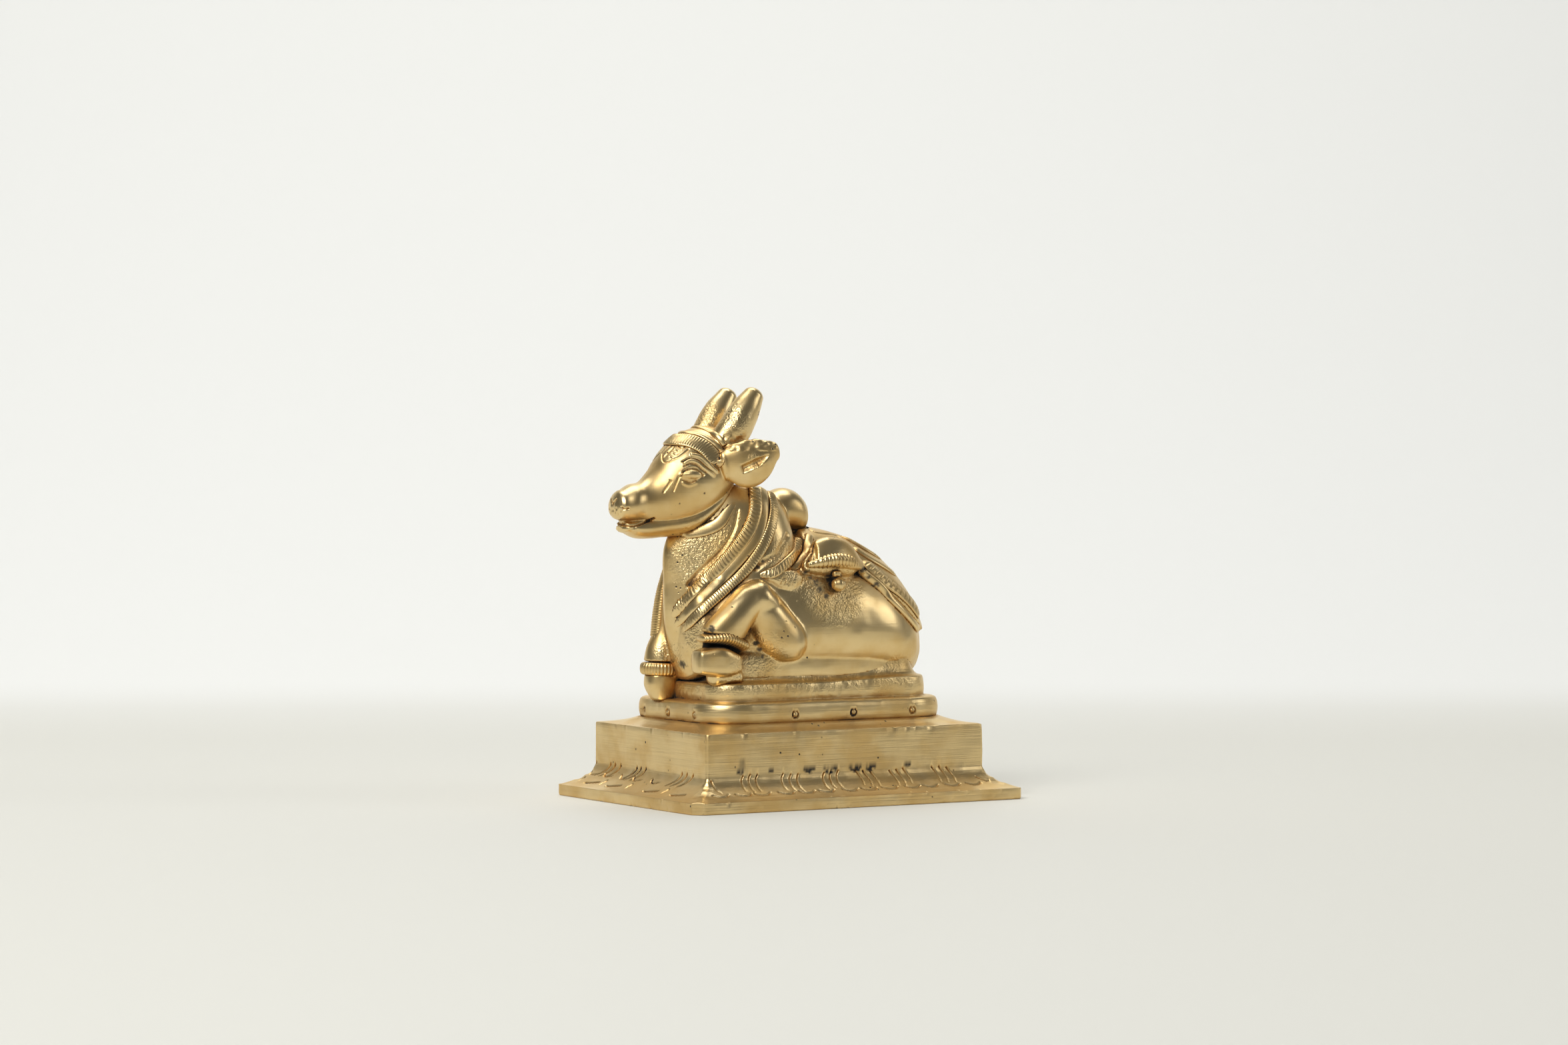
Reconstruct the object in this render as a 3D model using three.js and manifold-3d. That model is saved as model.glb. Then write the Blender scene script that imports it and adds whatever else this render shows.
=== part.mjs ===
// A small brass Nandi bull lying on a stepped plinth, cast in one piece with it.
// Millimetres, +Z up. The bull faces -X and its left side is -Y. The origin is the middle of the
// flat underside, which the casting stands on.
import * as THREE from "three";
import { mergeVertices } from "three/addons/utils/BufferGeometryUtils.js";
import Module from "manifold-3d";

const wasm = await Module();
wasm.setup();

// Driving dimensions of the figure, in mm.
const figureHeight = 49; // from the top of the seat to the horn tips
const seatMargin = 0.9; // seat left bare behind the rump and beside the flanks

// Driving dimensions of the plinth, in mm, from the ground up.
const slabEdgeHeight = 1.9; // upright edge of the bottom slab
const flareHeight = 3.9; // hollow moulding between the slab's edge and the block
const flareReach = 4.8; // how far the slab stands out past the block
const blockHeight = 6.8; // upright sides of the block
const ledge = 3.6; // top of the block left around the seat
const ledgeRise = 1.2; // how much that top climbs towards the seat
const lowerTierHeight = 3.4;
const tierStep = 2.3; // how far the lower tier stands out past the upper one
const upperTierHeight = 3;
const slabCorner = 1.1; // corner radii, seen from above
const blockCorner = 0.7;
const upperTierCorner = 5;
const sunk = 0.6; // how deep a form is let into the one that carries it

// The figure is drawn on a grid of 49 units to its height, with z = 0 on top of the seat.
const gridHeight = 49;
const unit = figureHeight / gridHeight;
const bodyHalfLength = 20.1 * unit;
const bodyHalfWidth = 12.3 * unit;

// Half sizes of each storey of the plinth, from the seat outwards.
const seatHalf = [bodyHalfLength + seatMargin, bodyHalfWidth + seatMargin];
const lowerTierHalf = seatHalf.map((half) => half + tierStep);
const blockHalf = lowerTierHalf.map((half) => half + ledge);
const slabHalf = blockHalf.map((half) => half + flareReach);

// Heights of each storey's top.
const blockFoot = slabEdgeHeight + flareHeight;
const blockTop = blockFoot + blockHeight;
const ledgeTop = blockTop + ledgeRise;
const lowerTierTop = ledgeTop + lowerTierHeight;
const seatTop = lowerTierTop + upperTierHeight;

// A closed three.js geometry as a solid that can be joined and cut.
function solidOf(geometry) {
  const bare = geometry.clone();
  for (const name of ["normal", "uv"]) bare.deleteAttribute(name);
  const merged = mergeVertices(bare, 1e-5);
  const vertProperties = new Float32Array(merged.attributes.position.array);
  const triVerts = new Uint32Array(merged.index.array);
  const made = new wasm.Manifold(new wasm.Mesh({ numProp: 3, vertProperties, triVerts }));
  if (made.volume() > 0) return made;
  const turned = triVerts.slice().reverse();
  return new wasm.Manifold(new wasm.Mesh({ numProp: 3, vertProperties, triVerts: turned }));
}

function geometryOf(solid) {
  const mesh = solid.getMesh();
  const geometry = new THREE.BufferGeometry();
  geometry.setAttribute("position", new THREE.BufferAttribute(mesh.vertProperties, 3));
  geometry.setIndex(new THREE.BufferAttribute(mesh.triVerts, 1));
  geometry.computeVertexNormals();
  return geometry;
}

const joined = (solids) => solids.reduce((all, one) => all.add(one));

// The plinth's storeys are rounded rectangles stacked up a cylinder's rows.
// Each level is [height, half length, half width, corner radius].
function moulding(levels, cornerSteps) {
  const perCorner = cornerSteps + 1;
  const sides = 4 * perCorner;
  const geometry = new THREE.CylinderGeometry(1, 1, 1, sides, levels.length - 1);
  const position = geometry.attributes.position;
  const outline = (side, [, halfLength, halfWidth, radius]) => {
    const corner = Math.floor((side % sides) / perCorner);
    const turn = ((corner + ((side % sides) % perCorner) / cornerSteps) * Math.PI) / 2;
    const signX = corner === 0 || corner === 3 ? 1 : -1;
    const signY = corner < 2 ? 1 : -1;
    return [
      signX * (halfLength - radius) + radius * Math.cos(turn),
      signY * (halfWidth - radius) + radius * Math.sin(turn),
    ];
  };
  for (let i = 0; i < position.count; i++) {
    const row = Math.round((position.getY(i) + 0.5) * (levels.length - 1));
    const level = levels[row];
    if (Math.hypot(position.getX(i), position.getZ(i)) < 0.5) {
      position.setXYZ(i, 0, 0, level[0]);
      continue;
    }
    const angle = Math.atan2(position.getZ(i), position.getX(i));
    const side = (Math.round((angle / (2 * Math.PI)) * sides) + sides) % sides;
    const [x, y] = outline(side, level);
    position.setXYZ(i, x, y, level[0]);
  }
  return solidOf(geometry);
}

// The hollow sweep of the flare, from the slab's shoulder up to the foot of the block.
function flareLevels(steps) {
  const levels = [];
  for (let i = 0; i <= steps; i++) {
    const climb = i / steps;
    const out = flareReach * (1 - Math.sin((climb * Math.PI) / 2) ** 1.25);
    const round = THREE.MathUtils.lerp(slabCorner, blockCorner, climb);
    const height = slabEdgeHeight + flareHeight * (1 - Math.cos((climb * Math.PI) / 2)) ** 0.8;
    levels.push([height, blockHalf[0] + out, blockHalf[1] + out, round]);
  }
  return levels;
}

function slabAndBlock() {
  const topCorner = upperTierCorner + tierStep;
  return moulding(
    [
      [0, ...slabHalf, slabCorner],
      ...flareLevels(6),
      [blockTop, ...blockHalf, blockCorner],
      [blockTop + 0.25 * ledgeRise, ...blockHalf.map((half) => half - 0.3 * ledge), blockCorner * 3],
      [ledgeTop, ...lowerTierHalf, topCorner],
    ],
    4,
  );
}

// A tier of the seat, with its side bulging in the middle.
function tier(foot, top, half, corner, bulge) {
  const level = (share, inset) => [
    THREE.MathUtils.lerp(foot, top, share),
    ...half.map((size) => size - inset),
    corner - inset,
  ];
  return moulding(
    [
      [foot - sunk, ...half.map((size) => size - bulge), corner - bulge],
      level(0.12, 0.5 * bulge),
      level(0.42, 0),
      level(0.72, 0.15 * bulge),
      level(0.92, 0.6 * bulge),
      level(1, 1.5 * bulge),
    ],
    5,
  );
}

function plinth() {
  const lowerCorner = upperTierCorner + tierStep;
  return joined([
    slabAndBlock(),
    tier(ledgeTop, lowerTierTop, lowerTierHalf, lowerCorner, 0.7),
    tier(lowerTierTop, seatTop, seatHalf, upperTierCorner, 0.4),
  ]);
}

// A station of a form is [upper x, upper z, lower x, lower z, half width, y, taper], on the figure's
// grid, as seen from the side. Taper draws the section in towards its upper edge.
const spread = (stations, pick) =>
  new THREE.CatmullRomCurve3(
    stations.map((station) => new THREE.Vector3(...pick(station))),
    false,
    "catmullrom",
    0.5,
  );

// A rounded form pulled along its stations: a sphere whose rows are laid on oval sections.
// The two caps are how far its ends bulge out past the first and last station.
function formGeometry(stations, { caps = [1, 1], sides = 14, steps = 2, square = 2 } = {}) {
  const capRows = 2;
  const bodyRows = (stations.length - 1) * steps;
  const rows = bodyRows + 2 * capRows;
  const geometry = new THREE.SphereGeometry(1, sides, rows);
  const position = geometry.attributes.position;
  const upper = spread(stations, ([x, z, , , , y = 0]) => [x, y, z]);
  const lower = spread(stations, ([, , x, z, , y = 0]) => [x, y, z]);
  const widths = spread(stations, ([, , , , half, , taper = 0]) => [half, taper, 0]);
  const rounded = (value) => Math.sign(value) * Math.abs(value) ** (2 / square);
  const across = new THREE.Vector3(0, 1, 0);
  for (let row = 0; row <= rows; row++) {
    const along = THREE.MathUtils.clamp((row - capRows) / bodyRows, 0, 1);
    const past = Math.max(capRows - row, row - capRows - bodyRows, 0) / capRows;
    const top = upper.getPoint(along);
    const bottom = lower.getPoint(along);
    const { x: half, y: taper } = widths.getPoint(along);
    const centre = top.clone().add(bottom).multiplyScalar(0.5);
    const rise = top.clone().sub(bottom).multiplyScalar(0.5);
    const outward = rise.clone().cross(across).normalize();
    const forward = upper.getTangent(along).add(lower.getTangent(along));
    if (outward.dot(forward) < 0) outward.negate();
    const cap = row < capRows ? -caps[0] : caps[1];
    centre.addScaledVector(outward, past > 0 ? cap * Math.sin((past * Math.PI) / 2) : 0);
    const shrink = past === 1 ? 0 : Math.cos((past * Math.PI) / 2);
    for (let side = 0; side <= sides; side++) {
      const turn = ((side % sides) / sides) * 2 * Math.PI;
      const up = rounded(Math.sin(turn)) * shrink;
      const out = rounded(Math.cos(turn)) * shrink * half * (1 - taper * Math.sin(turn));
      const point = centre.clone().addScaledVector(rise, up).addScaledVector(across, out);
      position.setXYZ(row * (sides + 1) + side, point.x, point.y, point.z);
    }
  }
  geometry.computeVertexNormals();
  return geometry;
}

const form = (stations, options) => placed(formGeometry(stations, options));

// From the figure's grid to millimetres, standing on the seat.
function placed(geometry) {
  geometry.scale(unit, unit, unit);
  geometry.translate(0, 0, seatTop);
  return solidOf(geometry);
}

// A rounded lump, leaning in the side view by a number of degrees.
function lump([x, y, z], [length, width, height], lean = 0, sides = 12) {
  const geometry = new THREE.SphereGeometry(1, sides, Math.ceil(sides * 0.6));
  geometry.scale(length, width, height);
  geometry.rotateY(THREE.MathUtils.degToRad(-lean));
  geometry.translate(x, y, z);
  return placed(geometry);
}

// The same stations, standing out by a thickness all round: a cloth's upper side.
function grown(stations, thickness) {
  return stations.map(([ax, az, bx, bz, half, y = 0, taper = 0]) => {
    const share = thickness / Math.hypot(ax - bx, az - bz);
    const [dx, dz] = [(ax - bx) * share, (az - bz) * share];
    return [ax + dx, az + dz, bx - dx, bz - dz, half + thickness, y, taper];
  });
}

// An outline in the side view, run right through the figure.
function throughFigure(outline) {
  const shape = new THREE.Shape(outline.map(([x, z]) => new THREE.Vector2(x, z)));
  const geometry = new THREE.ExtrudeGeometry(shape, { depth: 60, bevelEnabled: false });
  geometry.rotateX(Math.PI / 2);
  geometry.translate(0, 30, 0);
  return placed(geometry);
}

const mirrored = (stations) =>
  stations.map(([ax, az, bx, bz, half, y = 0, taper = 0]) => [ax, az, bx, bz, half, -y, taper]);
const bothSides = (stations, options) => [
  form(stations, options),
  form(mirrored(stations), options),
];

// Where a line drawn in the side view lands on one side of the forms that it lies on, at an even
// spacing over them.
function landings(ground, line, side, spacing) {
  const curve = new THREE.SplineCurve(line.map(([x, z]) => new THREE.Vector2(x, z)));
  const found = curve.getSpacedPoints(120).flatMap(({ x, y: z }) => {
    const from = new THREE.Vector3(x, 40 * side, z);
    const ray = new THREE.Raycaster(from, new THREE.Vector3(0, -side, 0));
    return ray.intersectObjects(ground).slice(0, 1);
  });
  let last = found[0].point;
  return found.filter((hit, i) => {
    if (i > 0 && hit.point.distanceTo(last) < spacing) return false;
    last = hit.point;
    return true;
  });
}

// A raised band over the body, oval across: it lies along its landings, half sunk in the form.
function band(landed, width, rise, { closed = false, facets = 5, square = 2 } = {}) {
  const rows = closed ? landed.length : landed.length - 1;
  const geometry = closed
    ? new THREE.TorusGeometry(1, 0.3, facets, rows)
    : new THREE.SphereGeometry(1, facets, rows + 2);
  const position = geometry.attributes.position;
  const path = new THREE.CatmullRomCurve3(landed.map((hit) => hit.point), closed);
  const rounded = (value) => Math.sign(value) * Math.abs(value) ** (2 / square);
  for (let i = 0; i < position.count; i++) {
    const [row, facet] = closed
      ? [i % (rows + 1), Math.floor(i / (rows + 1))]
      : [Math.floor(i / (facets + 1)), i % (facets + 1)];
    const at = closed ? row % rows : THREE.MathUtils.clamp(row - 1, 0, rows);
    const point = path.getPoint(at / rows);
    const { normal } = landed[at];
    const crosswise = path.getTangent(at / rows).cross(normal).normalize();
    const turn = (((facet % facets) + 0.5) / facets) * 2 * Math.PI;
    const size = closed || (row > 0 && row < rows + 2) ? 1 : 0;
    point.addScaledVector(crosswise, (size * width * rounded(Math.cos(turn))) / 2);
    point.addScaledVector(normal, size * rise * rounded(Math.sin(turn)));
    position.setXYZ(i, point.x, point.y, point.z);
  }
  return placed(geometry);
}

// The bull's main forms.
const torso = [
  [-20, 18, -20, 0, 8, 0, 0.1],
  [-14, 22.5, -14, -sunk, 10.4, 0, 0.2],
  [-7, 24.6, -7, -sunk, 11.7, 0, 0.28],
  [1, 24.9, 1, -sunk, 12.2, 0, 0.3],
  [8, 23.7, 8, -sunk, 12.3, 0, 0.3],
  [14, 21.1, 14, -sunk, 12, 0, 0.28],
  [18.3, 17.3, 18.3, -sunk, 10.6, 0, 0.22],
  [20.6, 13.4, 20.6, -sunk, 8.6, 0, 0.15],
];
const torsoOptions = { caps: [2.5, 1.3], sides: 18, steps: 1 };
const neck = [
  [-21.5, 2, -6, 4, 8.2, 0, 0.4],
  [-23.7, 9.5, -3, 13, 9.4, 0, 0.52],
  [-24, 16, -1, 21, 8.8, 0, 0.55],
  [-23.8, 22.5, -1.8, 27, 7.4, 0, 0.5],
  [-20.5, 28, -3.4, 30.2, 6.4, 0, 0.3],
  [-17, 32.4, -5.2, 31.4, 5.2, 0, 0.1],
];
const neckOptions = { caps: [2, 0.7], sides: 16 };
const head = [
  [-32.2, 31.9, -32.6, 26.9, 2.9, 0, 0.1],
  [-30.6, 32.8, -31, 26.5, 3.5, 0, 0.1],
  [-28.6, 33.3, -28.7, 26, 3.3, 0, 0],
  [-26.4, 35.4, -26.2, 25.2, 4, 0, 0],
  [-24.2, 38.4, -22.6, 25.2, 5.2, 0, 0.05],
  [-21.2, 41, -18.6, 26.2, 6.2, 0, 0.08],
  [-17, 42.4, -15, 28.8, 6.3, 0, 0.1],
  [-12.8, 42, -11.5, 33, 4.8, 0, 0.1],
];
const headOptions = { caps: [1.4, 2], sides: 18 };
const lowerJaw = [
  [-31.7, 26.9, -31.4, 25, 2.1],
  [-29.8, 27.2, -29.5, 23.8, 2.8],
  [-26.3, 27.6, -25.8, 23.9, 3.3],
  [-21, 29, -20, 24.6, 4.6],
  [-16, 32, -14.8, 27.2, 5.2],
];
const hump = [
  [-4, 31, -4.2, 25.5, 3],
  [-1.8, 32.1, -2, 24.4, 3.9],
  [0.9, 31, 1.4, 24.2, 3.9],
];

const anySide = new THREE.MeshStandardMaterial({ side: THREE.DoubleSide });
const groundOf = (stations, options) => new THREE.Mesh(formGeometry(stations, options), anySide);
const bodyGround = [groundOf(torso, torsoOptions), groundOf(neck, neckOptions)];
const headGround = [groundOf(head, headOptions)];

// A band on each side of the body.
const bandPair = (ground, line, width, rise, { spacing = 3, ...options } = {}) =>
  [-1, 1].map((side) => band(landings(ground, line, side, spacing), width, rise, options));

// A line that goes up one side, over the middle and down the other.
const around = (ground, line, spacing) => [
  ...landings(ground, line, -1, spacing),
  ...landings(ground, line, 1, spacing).reverse(),
];

function headParts() {
  const horn = [
    [-17.6, 39.8, -13.2, 36.8, 2.4, -3.4],
    [-15.4, 43.2, -10.7, 39.9, 2.8, -3.9],
    [-13.1, 46.3, -9, 43.4, 2.5, -4.2],
    [-10.9, 48.4, -8, 46.3, 1.8, -4.3],
  ];
  const ear = [
    [-16.9, 38.4, -15.9, 32.9, 1.1, -6.6],
    [-14, 39.9, -12.9, 32.7, 1.5, -7.8],
    [-10.9, 40.1, -10, 34.4, 1.4, -8.8],
    [-8.7, 39.6, -8, 37, 1, -9.2],
  ];
  const earRoot = [
    [-15.6, 39.4, -14.6, 33.4, 2.2, -5],
    [-12.4, 40, -11.8, 35.4, 1.8, -6.6],
  ];
  const brow = [
    [-24.1, 36.5],
    [-22.9, 37],
    [-21.6, 37.1],
    [-20.4, 36.7],
    [-18.6, 35.4],
  ];
  const upperLid = [
    [-24.4, 34.3],
    [-23.7, 35.2],
    [-22.4, 35.7],
    [-21.1, 35.4],
    [-19.5, 34.4],
  ];
  const lowerLid = [
    [-24.2, 34],
    [-22.8, 33.2],
    [-21.4, 33.3],
    [-19.8, 34.3],
  ];
  const eye = (side) => lump([-21.9, 5.1 * side, 34.4], [2, 0.8, 1.1], 4, 8);
  return joined([
    form(head, headOptions),
    form(lowerJaw, { caps: [0.9, 1], sides: 10, steps: 1 }),
    ...bothSides(horn, { caps: [0.6, 1.3], sides: 9, steps: 1 }),
    ...bothSides(ear, { caps: [0.9, 0.8], sides: 10, steps: 1 }),
    ...bothSides(earRoot, { caps: [0.6, 0.6], sides: 8, steps: 1 }),
    ...bandPair(headGround, brow, 0.9, 0.5, { spacing: 1.6, facets: 4 }),
    ...bandPair(headGround, upperLid, 0.6, 0.5, { spacing: 1.2, facets: 4 }),
    ...bandPair(headGround, lowerLid, 0.5, 0.35, { spacing: 1.4, facets: 4 }),
    eye(-1),
    eye(1),
    headband(),
  ]);
}

// The hatched band round the brow and the thin cord above it, under the horns.
function headband() {
  const bandLine = [
    [-16, 35.4],
    [-16.9, 37.2],
    [-18.9, 38.9],
    [-21.8, 39.9],
    [-26.4, 39.6],
  ];
  const cordLine = [
    [-16, 40.1],
    [-18.2, 41.2],
    [-21.8, 42],
    [-24, 41.4],
  ];
  return joined([
    band(around(headGround, bandLine, 2), 1.7, 0.7, { square: 2.6 }),
    band(around(headGround, cordLine, 2), 0.8, 0.5, { facets: 4 }),
  ]);
}

// What is sunk into the head: the mouth, the nostrils and the hollows of the ears.
function headHollows() {
  const earHollow = [
    [-14.4, 36.5, -13.8, 34.8, 0.9, -9.3],
    [-12, 37.5, -11.5, 35.9, 0.9, -10],
    [-10.2, 38, -9.9, 37, 0.8, -10.3],
  ];
  const nostril = (side) => lump([-33.1, 2.2 * side, 30.1], [0.8, 0.5, 0.45], 40, 6);
  return joined([
    lump([-33, 0, 26.7], [1.2, 3, 0.35], 0, 8),
    lump([-30.8, -3.2, 26.8], [3, 0.9, 0.35], 6, 8),
    lump([-30.8, 3.2, 26.8], [3, 0.9, 0.35], 6, 8),
    nostril(-1),
    nostril(1),
    ...bothSides(earHollow, { caps: [0.3, 0.3], sides: 8, steps: 1 }),
  ]);
}

// Three collars hang from the nape down to the chest, and a fold of skin lies under the jaw.
function collars() {
  const hatched = [[-7.3, 32.6], [-10, 27], [-15, 23.2], [-17.4, 20.7], [-20.4, 17.6], [-22.2, 14.1], [-26, 10]];
  const smooth = [[-5.8, 32.4], [-8.4, 26.8], [-10.8, 23.2], [-13.8, 19.6], [-20.4, 13.5], [-26, 7]];
  const lower = [[-4.4, 31.9], [-6.9, 26.8], [-9.6, 22.1], [-12.6, 18.5], [-19.8, 12.5], [-25.4, 5.4]];
  const fold = [[-24.4, 24.4], [-19.7, 25], [-16.3, 26.4], [-14.6, 28.3], [-13.3, 30.2], [-12.4, 32]];
  const collar = (line, width, rise) =>
    band(around(bodyGround, line, 3.4), width, rise, { closed: true });
  return joined([
    collar(hatched, 2, 1.3),
    collar(smooth, 1.8, 0.9),
    collar(lower, 1.6, 1.2),
    ...bandPair(bodyGround, fold, 1.6, 0.9),
  ]);
}

// Two festoons and a leaf hang over each shoulder, in front of the saddle cloth.
function shoulderOrnaments() {
  const festoon = [[-1.7, 24.6], [-3.5, 21], [-6.5, 19.4], [-9.6, 18], [-12, 17.4]];
  const border = [[-0.8, 24.4], [-0.8, 21.6], [-3.2, 18.9], [-7.1, 17.8]];
  const leaf = [
    [-8.6, 18.4, -8, 16, 0.5, -9.7],
    [-6.4, 18.7, -6.2, 15.2, 0.8, -10],
    [-4.4, 18.4, -4.6, 16.4, 0.5, -10.3],
  ];
  return joined([
    ...bandPair(bodyGround, festoon, 2, 1.1),
    ...bandPair(bodyGround, border, 1, 0.9),
    ...bothSides(leaf, { caps: [0.4, 0.4], sides: 8, steps: 1 }),
  ]);
}

// The saddle cloth lies over the back, with a raised border and a padded flap on each side.
function saddleCloth() {
  const edge = [[7.6, 19.4], [10.6, 16.4], [14, 13.8], [18, 11], [22.5, 7.6]];
  const clothOutline = [[-0.8, 30], [-0.9, 22], [-1.4, 19.6], ...edge, [27, 10], [27, 30]];
  const borderLine = [[7.2, 20.6], [11, 17.4], [14.4, 14.8], [18, 12], [21.6, 9.1]];
  const cloth = grown(torso, 0.7);
  const clothOptions = { caps: [2.5, 1.8], sides: 18, steps: 1 };
  const flap = [
    [-1.5, 21.6, -1.3, 19.4, 0.6, -10.4],
    [1, 22.7, 1.4, 18.8, 1.7, -10.6],
    [4.4, 22.6, 4.8, 18.7, 1.9, -10.6],
    [7.6, 20.6, 7.9, 19.3, 0.8, -10.6],
  ];
  const pendant = (side) =>
    joined([
      lump([3.1, 12 * side, 16], [1.25, 1.25, 1.35], 0, 10),
      lump([2.6, 11.2 * side, 15.8], [1.9, 1.2, 1.9], 0, 8),
      lump([2.9, 11.4 * side, 18], [0.7, 0.9, 1.2], 0, 6),
    ]);
  const clothGround = [groundOf(cloth, clothOptions)];
  return joined([
    form(cloth, clothOptions).intersect(throughFigure(clothOutline)),
    ...bandPair(clothGround, borderLine, 2.6, 0.8, { square: 2.6 }),
    ...bothSides(flap, { caps: [0.5, 0.5], sides: 10, steps: 1 }),
    pendant(-1),
    pendant(1),
  ]);
}

// The left foreleg is folded with its knee up and its hoof on the seat.
function leftForeleg() {
  const upperArm = [
    [-10.4, 15.9, -14.4, 12.8, 2.9, -10.1],
    [-7.2, 12.6, -14.1, 10, 3.2, -10.4],
    [-4.2, 9, -12.9, 6.6, 3.3, -10.6],
    [-4.2, 5.8, -10.1, 4.2, 2.8, -10.7],
  ];
  const foreArm = [
    [-11.6, 17, -10.6, 12.2, 2.8, -10.2],
    [-15.4, 15.9, -13, 10.6, 3, -10.5],
    [-19.6, 12.3, -14.4, 8.8, 2.7, -10.8],
    [-22.8, 9.2, -15.4, 7.2, 2.5, -10.8],
  ];
  const anklet = [
    [-24, 8.2, -23.7, 6.9, 1.8, -10.4],
    [-20.4, 8.9, -20.2, 6.3, 3.3, -10.7],
    [-16.2, 7.5, -16.4, 5.5, 2.2, -10.7],
  ];
  const hoof = [
    [-24.4, 6.6, -24.4, 1, 2, -9.9],
    [-21, 6.6, -20.8, 0.2, 3.1, -10.3],
    [-17, 5.4, -16.8, 1.4, 2.4, -10.3],
  ];
  return joined([
    form(upperArm, { caps: [1.2, 1], sides: 12, steps: 1 }),
    form(foreArm, { caps: [1, 1], sides: 12, steps: 1 }),
    form(anklet, { caps: [0.5, 0.5], sides: 10, steps: 1 }),
    form(hoof, { caps: [0.6, 0.6], sides: 12, steps: 1, square: 3 }),
  ]);
}

// The right foreleg is put forward: it comes down over the front edge of the seat.
function rightForeleg() {
  const upperArm = [
    [-18.6, 15.8, -17, 10.8, 2.8, 6],
    [-13.6, 14.6, -14.4, 8.6, 3.2, 9.2],
    [-7.6, 10.2, -11.4, 5.4, 3.3, 10.6],
    [-5.4, 6.4, -9.8, 4.6, 3.1, 10.8],
  ];
  const foreArm = [
    [-22.2, 16.8, -17.6, 18.4, 2.1, 4.6],
    [-23.4, 12.5, -18.8, 12.7, 2.2, 4.6],
    [-23.8, 8.6, -19.8, 8.4, 2, 4.6],
    [-24.5, 5.5, -19.3, 5.3, 2.5, 4.6],
    [-25, 3.3, -18.7, 3.2, 2.9, 4.6],
  ];
  const anklet = [
    [-25.1, 3, -18.5, 2.8, 3, 4.6],
    [-25.6, 1.9, -18.1, 1.7, 3.3, 4.6],
    [-25.1, 0.8, -18.5, 0.6, 3, 4.6],
  ];
  const hoof = [
    [-24.8, 0.9, -19, 0.9, 2.6, 4.4],
    [-24.9, -1, -19, -1, 2.5, 4.4],
    [-23.8, -3.2, -19, -3.2, 2, 4.2],
  ];
  return joined([
    form(upperArm, { caps: [1, 1.2], sides: 10, steps: 1 }),
    form(foreArm, { caps: [1.4, 0.3], sides: 10, steps: 1 }),
    form(anklet, { caps: [0.2, 0.2], sides: 12, steps: 1 }),
    form(hoof, { caps: [0.2, 0.2], sides: 10, steps: 1, square: 2.6 }),
  ]);
}

// The folded hind legs show as a low swelling along the foot of each flank.
function hindLegs() {
  const shin = [
    [-15, 1.2, -15, -sunk, 1.4, -10.4],
    [-6, 2.4, -6, -sunk, 1.9, -10.7],
    [6, 3.1, 6, -sunk, 2, -10.9],
    [15.4, 3.3, 15.4, -sunk, 2.2, -9.6],
  ];
  return joined(bothSides(shin, { caps: [1, 2], sides: 10, steps: 1, square: 2.6 }));
}

// The tail lies down the middle of the rump and ends in a tuft on the seat.
function tail() {
  const switchOfHair = [
    [21.6, 9, 19, 8, 1.3, 1],
    [23.4, 5.6, 20.4, 5.6, 1.3, 0.6],
    [24, 3, 20.6, 3, 1.6, 0.4],
    [23.8, 0.4, 20.6, 0.4, 1.6, 0.4],
  ];
  return form(switchOfHair, { caps: [0.6, 0.8], sides: 8, steps: 1 });
}

function bull() {
  return joined([
    form(torso, torsoOptions),
    form(neck, neckOptions),
    form(hump, { caps: [0.8, 1.4], sides: 12 }),
    headParts(),
    collars(),
    shoulderOrnaments(),
    saddleCloth(),
    leftForeleg(),
    rightForeleg(),
    hindLegs(),
    tail(),
  ]).subtract(headHollows());
}

const brass = new THREE.MeshStandardMaterial({ color: 0xc9a468, metalness: 1, roughness: 0.35 });
const casting = new THREE.Mesh(geometryOf(plinth().add(bull())), brass);
casting.name = "nandi_bull";

const figure = new THREE.Group();
figure.add(casting);

export default figure;
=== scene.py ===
"""Dresses a small cast brass Nandi bull, lying on its stepped plinth, for the studio."""

from __future__ import annotations

import logging
import math
from collections.abc import Sequence
from dataclasses import dataclass
from enum import Enum

import bpy
import numpy as np
from mathutils import Matrix, Vector, noise
from mathutils.bvhtree import BVHTree

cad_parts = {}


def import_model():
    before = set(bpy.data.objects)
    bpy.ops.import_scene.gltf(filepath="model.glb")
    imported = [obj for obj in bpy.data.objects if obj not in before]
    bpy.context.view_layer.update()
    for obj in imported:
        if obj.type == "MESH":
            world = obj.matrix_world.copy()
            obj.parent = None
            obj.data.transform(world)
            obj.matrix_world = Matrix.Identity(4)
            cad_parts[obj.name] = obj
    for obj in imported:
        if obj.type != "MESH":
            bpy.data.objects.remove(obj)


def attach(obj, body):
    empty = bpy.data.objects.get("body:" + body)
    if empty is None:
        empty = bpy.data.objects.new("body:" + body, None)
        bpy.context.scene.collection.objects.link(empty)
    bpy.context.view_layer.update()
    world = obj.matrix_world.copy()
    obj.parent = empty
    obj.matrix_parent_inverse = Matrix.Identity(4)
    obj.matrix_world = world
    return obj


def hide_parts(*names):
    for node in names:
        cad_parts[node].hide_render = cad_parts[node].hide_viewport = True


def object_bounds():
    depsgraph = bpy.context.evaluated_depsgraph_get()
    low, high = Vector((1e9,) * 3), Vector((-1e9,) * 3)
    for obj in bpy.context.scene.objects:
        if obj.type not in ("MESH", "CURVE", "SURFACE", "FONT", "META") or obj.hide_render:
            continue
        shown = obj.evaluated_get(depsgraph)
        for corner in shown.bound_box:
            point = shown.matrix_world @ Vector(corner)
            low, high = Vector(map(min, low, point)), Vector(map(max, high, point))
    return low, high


log = logging.getLogger("nandi_bull")

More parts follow.
